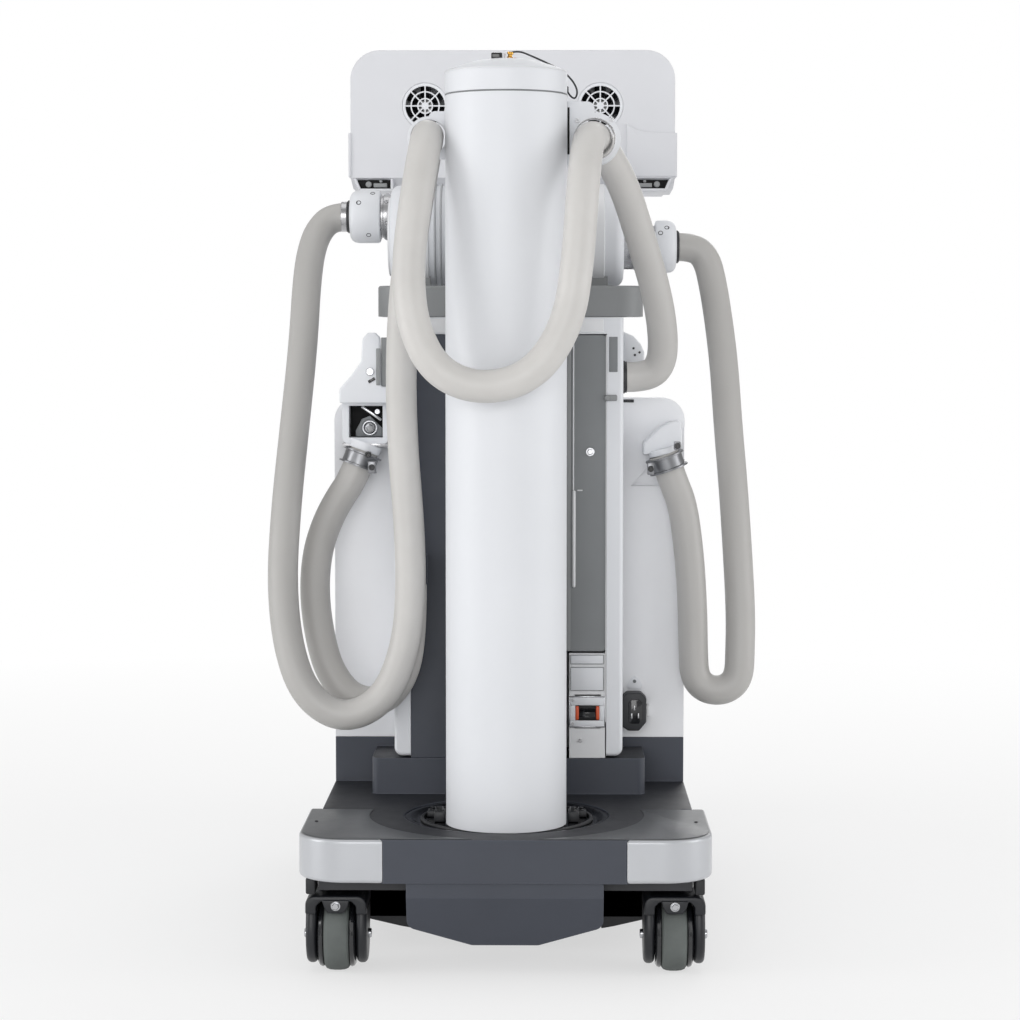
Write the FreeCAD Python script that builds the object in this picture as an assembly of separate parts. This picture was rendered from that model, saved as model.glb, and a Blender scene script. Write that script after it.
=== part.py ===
"""Mobile x-ray machine: a wheeled base, a turning telescopic column, and an operator's console.

Millimetres. +Z is up, -Y is the column end that leads when the machine is pushed, +X is to the
right when the column end is looked at. The origin is on the floor, under the middle of the machine.
"""

import FreeCAD, Part
import math
import os

V = FreeCAD.Vector

# Base: lengths are measured back from the front face of the deck
overall_length = 1200.0
base_width = 524.0
deck_bottom = 135.0
deck_top = 194.0
step_setback = 363.0
step_width = 400.0
step_top = 247.0
step_corner = 12.0
body_setback = 479.0
body_length = 641.0
body_top = 261.0
body_rear_corner = 40.0
sill_height = 100.0
shell_wall = 6.0
skin_gap = 0.5

# Bumpers wrap the two front corners, outside a circle round the column's axis
bumper_width = 560.0
bumper_corner = 68.0
bumper_setback = 238.0
bumper_inner_radius = 251.0
bumper_face_start = 163.5
bumper_edge = 5.0

# Front skirt below the deck
skirt_half_width = 132.0
skirt_flat_half_width = 45.0
skirt_shoulder = 71.0
skirt_bottom = 44.0
skirt_setback = 3.0
skirt_depth = 195.0
skirt_rake = 34.0
skirt_lip = 20.0
skirt_corner = 14.0

# Chassis
pan_setback = 200.0
pan_bottom = 48.0
pan_inset = 10.0
pan_wall = 8.0
pan_top_thickness = 12.0
well_margin = 4.0
wheel_side_gap = 8.0
rail_setback = 30.0
rail_rear_setback = 40.0
seat_thickness = 6.0
seat_margin = 8.0
bearing_wall = 30.0
rail_inner = 104.0
rail_width = 52.0
caster_plate_thickness = 17.0
caster_plate_front = 70.0
beam_half_width = 200.0
beam_half_depth = 30.0
beam_thickness = 20.0
axle_mount_outer = 12.0
axle_mount_inner = 60.0
axle_mount_half_depth = 45.0
axle_mount_rise = 50.0

# Column and the dish that it turns in
column_setback = 191.0
dish_radius = 143.0
dish_bore = 62.0
dish_floor = 188.0
dish_thickness = 6.0
dish_lip = 8.0
dish_lip_drop = 1.5
spindle_radius = 50.0
spindle_bottom = 137.0
base_disc_radius = 100.0
running_clearance = 0.05
sliding_clearance = 0.3
column_width = 166.0
column_front = 138.0
column_rear = 79.0
column_rear_corner = 9.0
column_bottom = 193.3
column_top = 1191.0
cover_wall = 4.5
cover_rear = 66.0
base_block_height = 30.0
frame_front = 100.0
cap_height = 49.0
cap_drop = 18.0
cap_edge = 5.0
cap_socket_x = -8.0
cap_socket_setback = 60.0
cap_socket_radius = 7.0
cap_socket_height = 6.0
cap_foot_inset = 8.0

# Inner mast, which rises out of the column
mast_half_width = 55.0
mast_front = 85.0
mast_rear = 35.0
mast_wall = 6.0
mast_bottom = 340.0
mast_corner = 5.0
slot_half_width = 36.0
slot_drop = 6.0
cavity_floor = 20.0
carriage_half_width = 34.0

# Arm, yoke and tube head
tube_setback = 680.0
tube_z = 1020.0
arm_half_width = 58.0
arm_half_height = 56.0
arm_wall = 12.0
arm_front_gap = 8.0
arm_inner_setback = 360.0
arm_corner = 14.0
arm_inner_corner = 5.0
arm_travel_in = 60.0
yoke_setback = 572.0
yoke_plate_thickness = 34.0
yoke_plate_corner = 18.0
yoke_plate_half_height = 52.0
roll_shaft_radius = 20.0
roll_shaft_length = 70.0
tube_radius = 78.5
tube_left = 187.0
tube_right = 175.0
tube_edge = 14.0
ring_radius = 90.0
ring_inner_x = 52.0
ring_outer_x = 78.0
port_radius = 44.0
port_bottom = 926.0
port_overlap = 30.0
horn_left_z = 1050.0
horn_left_cap = 49.0
horn_left_neck = 16.0
horn_right_z = 1003.0
horn_right_cap = 34.0
horn_right_neck = 49.0
horn_radius = 41.0
horn_neck_radius = 34.0
horn_edge = 12.0

# Handle round the collimator, hung from the tube housing
handle_half_width = 204.0
handle_half_depth = 105.0
handle_bottom = 894.0
handle_top = 941.0
handle_bar = 22.0
handle_corner = 40.0
handle_edge = 4.0
cheek_inner_x = 124.0
cheek_outer_x = 150.0
cheek_inset = 4.0
cheek_lift = 8.0
saddle_half_depth = 46.0
saddle_overlap = 14.0
saddle_rise = 50.0

# Collimator
turret_radius = 66.0
turret_bottom = 888.0
collimator_half_width = 85.0
collimator_half_depth = 76.0
collimator_bottom = 805.0
pivot_radius = 12.0
pivot_length = 18.0
collimator_corner = 12.0
window_half = 34.0
window_depth = 3.0
knob_radius = 11.0
knob_length = 9.0
knob_rise = 40.0

# Spine: an upright frame in front of the cabinet
spine_width = 334.0
spine_strip = 24.0
spine_bottom = 250.0
spine_top = 891.0
spine_head = 24.0
spine_back_wall = 30.0
panel_gap = 1.5
channel_right = 82.0
cover_left = 89.0
cover_bottom = 403.0
cover_thickness = 14.0
spine_corner = 12.0
spine_edge = 6.0
groove_half_width = 46.0
groove_depth = 22.0
cover_corner = 5.0
cover_rib = 12.0
cover_rib_inset = 8.0
switch_pocket_depth = 18.0
switch_z = 316.0
switch_x = 116.0
switch_half_width = 18.5
switch_half_height = 24.5
switch_front_gap = 2.0
rocker_radius = 10.0
rocker_half_width = 10.0
rocker_depth = 5.0
rocker_pin_radius = 1.2
rocker_half_height = 12.0
rocker_proud = 8.0
inlet_left = 168.0
inlet_right = 206.0
inlet_bottom = 273.0
inlet_top = 332.0
inlet_depth = 30.0
inlet_corner = 8.0

# Cabinet
cabinet_top = 772.0
cabinet_shoulder = 58.0
cabinet_slope = 20.0
bay_top = 745.0
cabinet_corner = 24.0
shoulder_radius = 34.0
scoop_top = 730.0
scoop_bottom = 640.0
scoop_width = 80.0
scoop_depth = 12.0

# Console
console_setback = 880.0
console_width = 530.0
console_length = 220.0
console_bottom = 1122.0
console_top = 1329.0
console_corner = 48.0
console_flat = 60.0
console_rear_top = 1205.0
console_drop = 18.0
console_chin = 60.0
console_chin_rise = 4.0
console_heel = 30.0
console_heel_rise = 24.0
neck_half_width = 150.0
neck_flare = 14.0
neck_front_offset = 50.0
neck_depth = 150.0
fan_x = 143.0
fan_z = 1239.0
fan_radius = 37.5
fan_pocket = 46.0
grille_thickness = 4.0
grille_rim = 5.0
grille_rings = (24.0, 13.0)
grille_ring_width = 2.2
grille_spokes = 8
grille_hub_radius = 6.0
fan_hub_radius = 12.0
fan_blades = 7
fan_blade_half_thickness = 1.2
fan_blade_half_width = 13.0
fan_blade_twist = 38.0
fan_front_gap = 8.0
screen_half_width = 130.0
screen_length = 150.0
screen_thickness = 9.0
screen_offset = 25.0
estop_x = 185.0
key_x = -185.0
button_stem_radius = 8.0
button_stem_depth = 24.0
button_share = 0.6
estop_radius = 20.0
estop_stem_depth = 16.0
estop_lift = 8.0
estop_height = 26.0
estop_edge = 6.0
key_stem_depth = 20.0
key_stem_height = 6.0
key_grip_half_width = 11.0
key_grip_half_thickness = 2.0
key_grip_height = 26.0

# Push handle
push_radius = 15.0
push_half_width = 225.0
push_z = 1140.0
push_arm_width = 24.0
push_arm_half_height = 22.0
push_arm_corner = 10.0
drive_bar_radius = 9.0
drive_bar_gap = 22.0
drive_bar_travel = 10.0
drive_bar_inset = 6.0

# Wheels
rear_wheel_radius = 120.0
wheel_well_gap = 10.0
rear_wheel_width = 46.0
rear_wheel_setback = 980.0
rear_wheel_x = 234.0
rear_tyre_depth = 24.0
rear_tyre_edge = 8.0
rear_hub_boss = 34.0
rear_hub_dish = 42.0
rear_rim_lip = 10.0
axle_radius = 12.0
axle_depth = 50.0
washer_width = 8.0
washer_gap = 0.3
washer_thickness = 3.7
collar_width = 10.0
collar_depth = 11.7
hub_face = 12.0
caster_x = 229.0
caster_setback = 110.0
caster_trail = 26.0
caster_radius = 50.0
caster_tread = 34.0
caster_hub_width = 48.0
caster_tyre_depth = 14.0
caster_axle_radius = 5.0
caster_cheek = 12.0
caster_cheek_gap = 1.5
caster_guard_radius = 40.0
caster_crown_front = 30.0
caster_crown_rear = 52.0
caster_crown_gap = 3.0
caster_fork_top = 108.0
caster_stem_radius = 12.0
caster_collar_radius = 24.0
caster_bolt_length = 5.0

# Cable glands, clamps and rests
cable_radius = 22.0
gland_radius = 28.0
gland_depth = 46.0
gland_corner = 12.0
gland_left_x = -212.0
gland_left_z = 704.0
gland_left_half_width = 35.0
gland_left_height = 76.0
gland_window_margin = 10.0
gland_window_top = 19.0
gland_right_x = 222.0
gland_right_z = 698.0
gland_right_half_width = 30.0
gland_right_height = 34.0
sleeve_wall = 4.0
sleeve_length = 12.0
clamp_gap = 3.0
clamp_band = 22.0
clamp_wall = 3.0
lug_half_width = 7.0
lug_half_height = 8.0
socket_radius = 24.0
socket_box_height = 42.0
socket_box_corner = 8.0
ring_setback = 21.0
ring_right_x = 120.5
ring_right_z = 1133.0
ring_right_radius = 36.0
ring_right_bore = 28.0
ring_right_depth = 24.0
ring_right_rise = 51.0
ring_left_x = 107.0
ring_left_z = 1135.5
ring_left_radius = 29.0
ring_left_bore = 24.5
ring_left_depth = 12.0
ring_left_rise = 36.0
ring_root_corner = 10.0

# Rests on the spine's sides: outer width, bottom, shoulder, top, depth from the step, and thickness
rest_left_width = 48.0
rest_left_foot = 85.0
rest_left_bottom = 782.0
rest_left_shoulder = 826.0
rest_left_top = 870.0
rest_left_setback = 30.0
rest_left_thickness = 32.0
rest_right_width = 27.0
rest_right_foot = 14.0
rest_right_bottom = 822.0
rest_right_shoulder = 838.0
rest_right_top = 871.0
rest_right_setback = 80.0
rest_right_thickness = 28.0

# Routes of the three high-voltage cables: across, back from the front, and up
feed_points = [
    (173, 404, 804),
    (205, 404, 804),
    (224, 401, 824),
    (226, 393, 864),
    (216, 374, 924),
    (192, 338, 1000),
    (164, 286, 1080),
    (132, 224, 1128),
    (120, 164, 1138),
    (110, 94, 1126),
    (103, 44, 1060),
    (97, 28, 966),
    (84, 24, 880),
    (40, 22, 812),
    (-30, 22, 792),
    (-92, 22, 816),
    (-124, 30, 880),
    (-130, 44, 960),
    (-119, 58, 1050),
    (-108, 98, 1124),
    (-107, 164, 1142),
    (-113, 226, 1120),
    (-130, 256, 1030),
    (-146, 270, 930),
    (-152, 280, 820),
    (-150, 286, 710),
    (-141, 288, 600),
    (-138, 289, 500),
    (-146, 290, 416),
    (-176, 291, 343),
    (-234, 293, 313),
    (-288, 299, 343),
    (-316, 314, 406),
    (-330, 350, 500),
    (-327, 390, 610),
    (-319, 450, 730),
    (-312, 520, 850),
    (-312, 590, 950),
    (-309, 644, 1000),
    (-299, 670, 1030),
    (-279, 680, 1050),
    (-252, 680, 1050),
]
right_points = [
    (258, 680, 1003),
    (286, 680, 1003),
    (306, 679, 984),
    (315, 670, 944),
    (322, 650, 894),
    (329, 610, 820),
    (332, 560, 730),
    (337, 510, 640),
    (342, 470, 530),
    (345, 451, 452),
    (344, 443, 396),
    (342, 440, 356),
    (323, 439, 338),
    (295, 439, 338),
    (276, 440, 356),
    (274, 442, 398),
    (273, 443, 460),
    (268, 445, 540),
    (258, 447, 614),
    (243, 446, 650),
    (229, 444, 690),
]
left_points = [
    (-216, 444, 694),
    (-231, 441, 654),
    (-253, 436, 622),
    (-272, 428, 584),
    (-284, 412, 540),
    (-286, 394, 486),
    (-278, 376, 430),
    (-262, 362, 374),
    (-228, 351, 334),
    (-182, 340, 332),
    (-150, 340, 374),
    (-140, 339, 440),
    (-140, 339, 505),
]

# Values that follow from the ones above
front_y = -overall_length / 2
rear_y = overall_length / 2
half_base = base_width / 2
half_bumper = bumper_width / 2
half_spine = spine_width / 2
half_recess = half_spine - spine_strip
half_column = column_width / 2
column_y = front_y + column_setback
step_y = front_y + step_setback
body_y = front_y + body_setback
body_rear_y = body_y + body_length
caster_y = front_y + caster_setback
recess_top = spine_top - spine_head
cover_right = half_recess - panel_gap
pan_front = front_y + pan_setback
tube_y = front_y + tube_setback
yoke_front_y = front_y + yoke_setback
arm_inner_front_y = front_y + arm_inner_setback
arm_rear_y = yoke_front_y - arm_travel_in - 2
console_front_y = front_y + console_setback
neck_front_y = console_front_y + neck_front_offset
neck_rear_y = neck_front_y + neck_depth
rear_wheel_y = front_y + rear_wheel_setback
column_axis = V(0, column_y, 0)
cable_feed_path = [V(x, front_y + back, z) for x, back, z in feed_points]
cable_right_path = [V(x, front_y + back, z) for x, back, z in right_points]
cable_left_path = [V(x, front_y + back, z) for x, back, z in left_points]


def box(x0, x1, y0, y1, z0, z1):
    return Part.makeBox(x1 - x0, y1 - y0, z1 - z0, V(x0, y0, z0))


def both_sides(half_width, y0, y1, z0, z1):
    return box(-half_width, half_width, y0, y1, z0, z1)


def cylinder(radius, start, end):
    along = end.sub(start)
    return Part.makeCylinder(radius, along.Length, start, along)


def tube(outer, inner, start, end):
    return cylinder(outer, start, end).cut(cylinder(inner, start, end))


def straight_edges(shape, axis):
    """Edges that run along one axis, given as 0, 1 or 2."""
    found = []
    for edge in shape.Edges:
        if len(edge.Vertexes) == 2 and isinstance(edge.Curve, (Part.Line, Part.LineSegment)):
            along = edge.Vertexes[1].Point.sub(edge.Vertexes[0].Point).normalize()
            if abs(along[axis]) > 0.999:
                found.append(edge)
    return found


def rounded(shape, radius, axis, test=lambda point: True):
    """Round the straight edges along an axis whose middle passes the test."""
    edges = [edge for edge in straight_edges(shape, axis) if test(edge.CenterOfMass)]
    return shape.makeFillet(radius, edges)


def rounded_rim(shape, radius, z):
    """Round every edge that lies flat at a height."""
    edges = [e for e in shape.Edges
             if abs(e.BoundBox.ZMin - z) < 0.01 and abs(e.BoundBox.ZMax - z) < 0.01]
    return shape.makeFillet(radius, edges)


def prism(points, along):
    return Part.Face(Part.makePolygon(points + points[:1])).extrude(along)


def profile_x(outline, x0, x1):
    """A (y, z) outline pushed along X."""
    return prism([V(x0, y, z) for y, z in outline], V(x1 - x0, 0, 0))


def profile_y(outline, y0, y1):
    """An (x, z) outline pushed along Y."""
    return prism([V(x, y0, z) for x, z in outline], V(0, y1 - y0, 0))


def revolved(outline, centre, axis):
    """A (radius, height) outline turned round an axis through a centre."""
    side = V(0, 0, 1) if abs(axis.x) > 0.5 else V(1, 0, 0)
    points = [centre + side * r + axis * h for r, h in outline]
    return Part.Face(Part.makePolygon(points + points[:1])).revolve(centre, axis, 360)


def mirrored(shape):
    return shape.mirror(V(0, 0, 0), V(1, 0, 0))


def both(shape):
    return shape.fuse(mirrored(shape))


def deck_slab(inset, bottom, top):
    """The deck between the bumpers, as far back as the base body."""
    width = half_base - inset
    slab = both_sides(width, front_y + inset, body_y + inset, bottom, top)
    front = both_sides(half_bumper, front_y - 1, front_y + bumper_setback, bottom, top)
    reach = bumper_inner_radius - skin_gap - inset
    rear = both_sides(half_bumper, front_y + bumper_setback, rear_y, bottom, top)
    keep = cylinder(reach, column_axis + V(0, 0, bottom), column_axis + V(0, 0, top))
    return slab.common(front.common(keep).fuse(rear))


def base_shell():
    bumper_rear = front_y + bumper_setback
    deck = deck_slab(0, deck_bottom, deck_top)
    side_panel = both_sides(half_base, bumper_rear + skin_gap, body_y + 1, sill_height, deck_top)
    step = both_sides(step_width / 2, step_y, body_y + 1, deck_top - 1, step_top)
    step = rounded(step, step_corner, 2, lambda p: p.y < step_y + 1)
    body = both_sides(half_base, body_y, body_rear_y, sill_height, body_top)
    body = rounded(body, body_rear_corner, 2, lambda p: p.y > body_rear_y - 1)
    outer = deck.fuse([side_panel, step, body]).removeSplitter()
    inner = half_base - shell_wall
    step_inner = step_width / 2 - shell_wall
    hollow = deck_slab(shell_wall, 0, deck_top - shell_wall)
    hollow = hollow.fuse([
        both_sides(inner, bumper_rear + shell_wall, body_y, 0, deck_top - shell_wall),
        both_sides(step_inner, step_y + shell_wall, body_y + shell_wall, 0, step_top - shell_wall),
        both_sides(inner, body_y + shell_wall, body_rear_y - shell_wall, 0, body_top - shell_wall),
    ])
    shell = outer.cut(hollow)
    shell = shell.cut(cylinder(dish_radius + skin_gap, column_axis, column_axis + V(0, 0, deck_top)))
    return shell.cut(wheel_wells(rear_wheel_radius + wheel_well_gap))


def wheel_wells(radius):
    well = cylinder(radius, V(wheel_inner_x() - wheel_side_gap - 1, rear_wheel_y, rear_wheel_radius),
                    V(half_base + wheel_side_gap, rear_wheel_y, rear_wheel_radius))
    return both(well)


def wheel_inner_x():
    return rear_wheel_x - rear_wheel_width / 2


def bumper():
    rear = front_y + bumper_setback
    block = box(bumper_face_start, half_bumper, front_y, rear, deck_bottom, deck_top)
    block = rounded(block, bumper_corner, 2, lambda p: p.x > half_bumper - 1 and p.y < front_y + 1)
    inside = cylinder(bumper_inner_radius, column_axis + V(0, 0, deck_bottom - 1),
                      column_axis + V(0, 0, deck_top + 1))
    block = block.cut(inside)
    side = box(0, half_base + skin_gap, front_y + bumper_setback / 2, rear, 0, deck_top + 1)
    keep = cylinder(bumper_inner_radius, column_axis, column_axis + V(0, 0, deck_top + 1))
    keep = keep.fuse(both_sides(half_bumper, front_y, column_y, 0, deck_top + 1))
    return rounded_outer_rim(block.cut(side.cut(keep)))


def rounded_outer_rim(block):
    """Round the bumper's outer edges, top and bottom."""
    edges = []
    for edge in block.Edges:
        bound = edge.BoundBox
        flat = bound.ZMax - bound.ZMin < 0.01
        outer = edge.CenterOfMass.x > half_bumper - 1 or bound.YMax < front_y + 0.1
        corner = bound.XMax > half_bumper - 0.1 and bound.YMin < front_y + 0.1
        if flat and (outer or corner):
            edges.append(edge)
    return block.makeFillet(bumper_edge, edges)


def front_skirt():
    outline = [
        (-skirt_half_width, deck_bottom),
        (-skirt_half_width, skirt_shoulder),
        (-skirt_flat_half_width, skirt_bottom),
        (skirt_flat_half_width, skirt_bottom),
        (skirt_half_width, skirt_shoulder),
        (skirt_half_width, deck_bottom),
    ]
    start = front_y + skirt_setback
    hull = profile_y(outline, start, start + skirt_depth)
    rake = [
        (start - 1, skirt_bottom - 1),
        (start - 1, deck_bottom - skirt_lip),
        (start, deck_bottom - skirt_lip),
        (start + skirt_rake, skirt_bottom - 1),
    ]
    hull = hull.cut(profile_x(rake, -half_base, half_base))
    return rounded(hull, skirt_corner, 1, lambda p: p.z < deck_bottom - 1)


def chassis_frame():
    """Pan open below, two rails, the bearing of the column, and the plates of the casters."""
    inner = half_base - pan_inset
    pan_rear = body_rear_y - pan_inset
    seat_bottom = dish_bottom() - seat_thickness
    well = rear_wheel_radius + wheel_well_gap + well_margin
    pan = both_sides(inner, pan_front, pan_rear, pan_bottom, deck_bottom)
    pan = pan.cut(both_sides(inner - pan_wall, pan_front + pan_wall, pan_rear - pan_wall, 0,
                             deck_bottom - pan_top_thickness))
    pan = pan.cut(both(box(wheel_inner_x() - wheel_side_gap, half_base, rear_wheel_y - well,
                           rear_wheel_y + well, 0, deck_bottom + 1)))
    rail = box(rail_inner, rail_inner + rail_width, front_y + rail_setback, body_rear_y - rail_rear_setback,
               deck_bottom, seat_bottom)
    seat = cylinder(dish_radius - seat_margin, column_axis + V(0, 0, seat_bottom),
                    column_axis + V(0, 0, dish_bottom()))
    bearing = cylinder(spindle_radius + bearing_wall, column_axis + V(0, 0, deck_bottom + 1),
                       column_axis + V(0, 0, dish_bottom()))
    cross = both_sides(rail_inner, column_y - beam_half_depth, column_y + beam_half_depth, deck_bottom + 1,
                       seat_bottom)
    plate = both_sides(inner, caster_y - caster_plate_front, pan_front + pan_wall,
                       deck_bottom - caster_plate_thickness, deck_bottom)
    skirt_rear = front_y + skirt_setback + skirt_depth
    plate = plate.cut(both_sides(skirt_half_width + skin_gap, front_y, skirt_rear + skin_gap, 0, deck_bottom))
    beam = both_sides(beam_half_width, caster_y - beam_half_depth, caster_y + beam_half_depth, deck_bottom,
                      deck_bottom + beam_thickness)
    mount = both(box(wheel_inner_x() - axle_mount_inner, wheel_inner_x() - axle_mount_outer,
                     rear_wheel_y - axle_mount_half_depth, rear_wheel_y + axle_mount_half_depth,
                     pan_bottom, rear_wheel_radius + axle_mount_rise))
    axles = rear_axle(-1).fuse(rear_axle(1))
    frame = pan.fuse([both(rail), seat, bearing, cross, plate, beam, mount, axles]).removeSplitter()
    frame = frame.cut(cylinder(spindle_radius + running_clearance, column_axis,
                               column_axis + V(0, 0, body_top)))
    stems = both(cylinder(caster_stem_radius + running_clearance, V(caster_x, caster_y, 0),
                          V(caster_x, caster_y, deck_bottom)))
    return frame.cut(stems)


def dish_bottom():
    return dish_floor - dish_thickness


def turntable_ring():
    lip_top = deck_top - dish_lip_drop
    outline = [
        (dish_bore, dish_bottom()),
        (dish_bore, dish_floor),
        (dish_radius - 2 * dish_lip, dish_floor),
        (dish_radius - dish_lip, lip_top),
        (dish_radius, lip_top),
        (dish_radius, dish_bottom()),
    ]
    return revolved(outline, column_axis, V(0, 0, 1))


def column_outline(rear, grow=0.0):
    """Plan of the column: a round front, flat sides and a flat rear."""
    half = half_column + grow
    centre_y = half_column - column_front
    right = V(half, centre_y, 0)
    front = V(0, centre_y - half, 0)
    left = V(-half, centre_y, 0)
    edges = [
        Part.makeLine(V(half, rear, 0), right),
        Part.Arc(right, front, left).toShape(),
        Part.makeLine(left, V(-half, rear, 0)),
        Part.makeLine(V(-half, rear, 0), V(half, rear, 0)),
    ]
    return Part.Wire(edges)


def column_prism(rear, grow, bottom, top):
    face = Part.Face(column_outline(rear, grow))
    face.translate(column_axis + V(0, 0, bottom))
    return face.extrude(V(0, 0, top - bottom))


def column_base():
    """Spindle in the chassis bearing, and the block that the column is bolted on."""
    foot = dish_floor + sliding_clearance
    inset = -cover_wall - skin_gap
    spindle = cylinder(spindle_radius, column_axis + V(0, 0, spindle_bottom),
                       column_axis + V(0, 0, column_bottom + 1))
    disc = cylinder(base_disc_radius, column_axis + V(0, 0, foot), column_axis + V(0, 0, column_bottom))
    disc = disc.common(column_prism(base_disc_radius, inset, foot, column_bottom))
    block = column_prism(cover_rear, inset, column_bottom, frame_bottom())
    return spindle.fuse([disc, block]).removeSplitter()


def frame_bottom():
    return column_bottom + base_block_height


def column_cover():
    outer = column_prism(cover_rear, 0, column_bottom, column_top)
    inner = column_prism(cover_rear + cover_wall + 1, -cover_wall, column_bottom - 1, column_top + 1)
    return outer.cut(inner)


def column_frame():
    """The load-bearing extrusion: the mast slides in it, and its rear slot lets the arm out."""
    bottom = frame_bottom()
    half = half_column - cover_wall - skin_gap
    core = both_sides(half, column_y - frame_front, column_y + cover_rear + 1, bottom, column_top)
    core = core.common(column_prism(cover_rear + 1, -cover_wall - skin_gap, bottom, column_top))
    back = both_sides(half_column, column_y + cover_rear + skin_gap, column_y + column_rear, column_bottom,
                      column_top)
    back = rounded(back, column_rear_corner, 2, lambda p: p.y > column_y + column_rear - 1)
    core = core.fuse(back).removeSplitter()
    gap = sliding_clearance
    cavity = both_sides(mast_half_width + gap, column_y - mast_front - gap, column_y + mast_rear + gap,
                        bottom + cavity_floor, column_top + 1)
    slot = both_sides(slot_half_width, column_y, column_y + column_rear + 1, arm_bottom() - slot_drop,
                      column_top + 1)
    return core.cut(cavity).cut(slot)


def arm_bottom():
    return tube_z - arm_half_height


def arm_top():
    return tube_z + arm_half_height


def mast():
    front = column_y - mast_front
    rear = column_y + mast_rear
    outer = both_sides(mast_half_width, front, rear, mast_bottom, column_top)
    inner = both_sides(mast_half_width - mast_wall, front + mast_wall, rear - mast_wall, mast_bottom - 1,
                       column_top - mast_wall)
    return rounded(outer, mast_corner, 2).cut(inner)


def column_cap():
    """A lid with a domed top that follows the column's round front."""
    top = column_top + cap_height
    cap = column_prism(column_rear, 0, column_top + skin_gap, top)
    cap = rounded(cap, column_rear_corner, 2, lambda p: p.y > column_y + column_rear - 1)
    dome_radius = (half_column ** 2 + cap_drop ** 2) / (2 * cap_drop)
    middle = column_axis + V(0, half_column - column_front, top - dome_radius)
    dome = Part.makeSphere(dome_radius, middle)
    dome = dome.fuse(cylinder(dome_radius, middle, middle + V(0, dome_radius, 0)))
    cap = rounded_rim(cap.common(dome), cap_edge, top - cap_drop)
    at = V(cap_socket_x, column_y - cap_socket_setback, top)
    socket = cylinder(cap_socket_radius, at - V(0, 0, cap_socket_height), at + V(0, 0, cap_socket_height))
    foot = both_sides(mast_half_width - cap_foot_inset, column_y - mast_front + cap_foot_inset,
                      column_y + mast_rear - cap_foot_inset, column_top, column_top + 2)
    return cap.fuse([socket, foot]).removeSplitter()


def arm_outer():
    """Bracket through the column's slot, and the housing that the arm telescopes in."""
    start = column_y + mast_rear
    neck = both_sides(carriage_half_width, start, column_y + column_rear + 6, arm_bottom(), arm_top())
    housing = both_sides(arm_half_width, column_y + column_rear + 4, arm_rear_y, arm_bottom(), arm_top())
    housing = rounded(housing, arm_corner, 1)
    bore_front = arm_inner_front_y - arm_travel_in - arm_front_gap
    gap = sliding_clearance
    bore = both_sides(arm_half_width - arm_wall + gap, bore_front, arm_rear_y + 1,
                      arm_bottom() + arm_wall - gap, arm_top() - arm_wall + gap)
    return housing.cut(bore).fuse(neck)


def arm_inner():
    end = yoke_front_y - sliding_clearance
    bar = both_sides(arm_half_width - arm_wall, arm_inner_front_y, end,
                     arm_bottom() + arm_wall, arm_top() - arm_wall)
    bore = cylinder(roll_shaft_radius + running_clearance, V(0, end - roll_shaft_length - 2, tube_z),
                    V(0, end + 1, tube_z))
    return rounded(bar, arm_inner_corner, 1).cut(bore)


def yoke():
    """Roll shaft, plate, and the two rings that the tube housing turns in."""
    bore_radius = tube_radius + sliding_clearance
    inner = V(ring_inner_x, tube_y, tube_z)
    outer = V(ring_outer_x, tube_y, tube_z)
    shaft = cylinder(roll_shaft_radius, V(0, yoke_front_y - roll_shaft_length, tube_z),
                     V(0, yoke_front_y + 1, tube_z))
    plate = both_sides(ring_outer_x, yoke_front_y, yoke_front_y + yoke_plate_thickness,
                       tube_z - yoke_plate_half_height, tube_z + yoke_plate_half_height)
    plate = rounded(plate, yoke_plate_corner, 1)
    hollow = cylinder(bore_radius, V(-ring_outer_x, tube_y, tube_z), outer)
    ring = tube(ring_radius, bore_radius, inner, outer)
    return shaft.fuse([plate.cut(hollow), both(ring)]).removeSplitter()


def tube_housing():
    body = cylinder(tube_radius, V(-tube_left, tube_y, tube_z), V(tube_right, tube_y, tube_z))
    ends = [e for e in body.Edges if e.BoundBox.XMax - e.BoundBox.XMin < 0.01]
    body = body.makeFillet(tube_edge, ends)
    port = cylinder(port_radius, V(0, tube_y, port_bottom), V(0, tube_y, tube_z - tube_radius + port_overlap))
    pivot = cylinder(pivot_radius, V(0, tube_y, port_bottom - pivot_length), V(0, tube_y, port_bottom + 1))
    return body.fuse([port, pivot]).removeSplitter()


def tube_handle():
    """A loop round the collimator, on two cheeks that are bolted under the housing."""
    front = tube_y - handle_half_depth
    rear = tube_y + handle_half_depth
    outer = both_sides(handle_half_width, front, rear, handle_bottom, handle_top)
    outer = rounded(outer, handle_corner, 2)
    inner = both_sides(handle_half_width - handle_bar, front + handle_bar, rear - handle_bar,
                       handle_bottom - 1, handle_top + 1)
    inner = rounded(inner, handle_corner - handle_bar, 2)
    loop = rounded_rim(outer.cut(inner), handle_edge, handle_top)
    cheek = box(cheek_inner_x, cheek_outer_x, front + cheek_inset, rear - cheek_inset,
                handle_bottom + cheek_lift, handle_top - cheek_inset)
    saddle = box(cheek_inner_x, cheek_outer_x, tube_y - saddle_half_depth, tube_y + saddle_half_depth,
                 handle_top - saddle_overlap, tube_z - saddle_rise)
    under = cylinder(tube_radius, V(-tube_left, tube_y, tube_z), V(tube_right, tube_y, tube_z))
    return loop.fuse([both(cheek), both(saddle).cut(under)]).removeSplitter()


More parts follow.
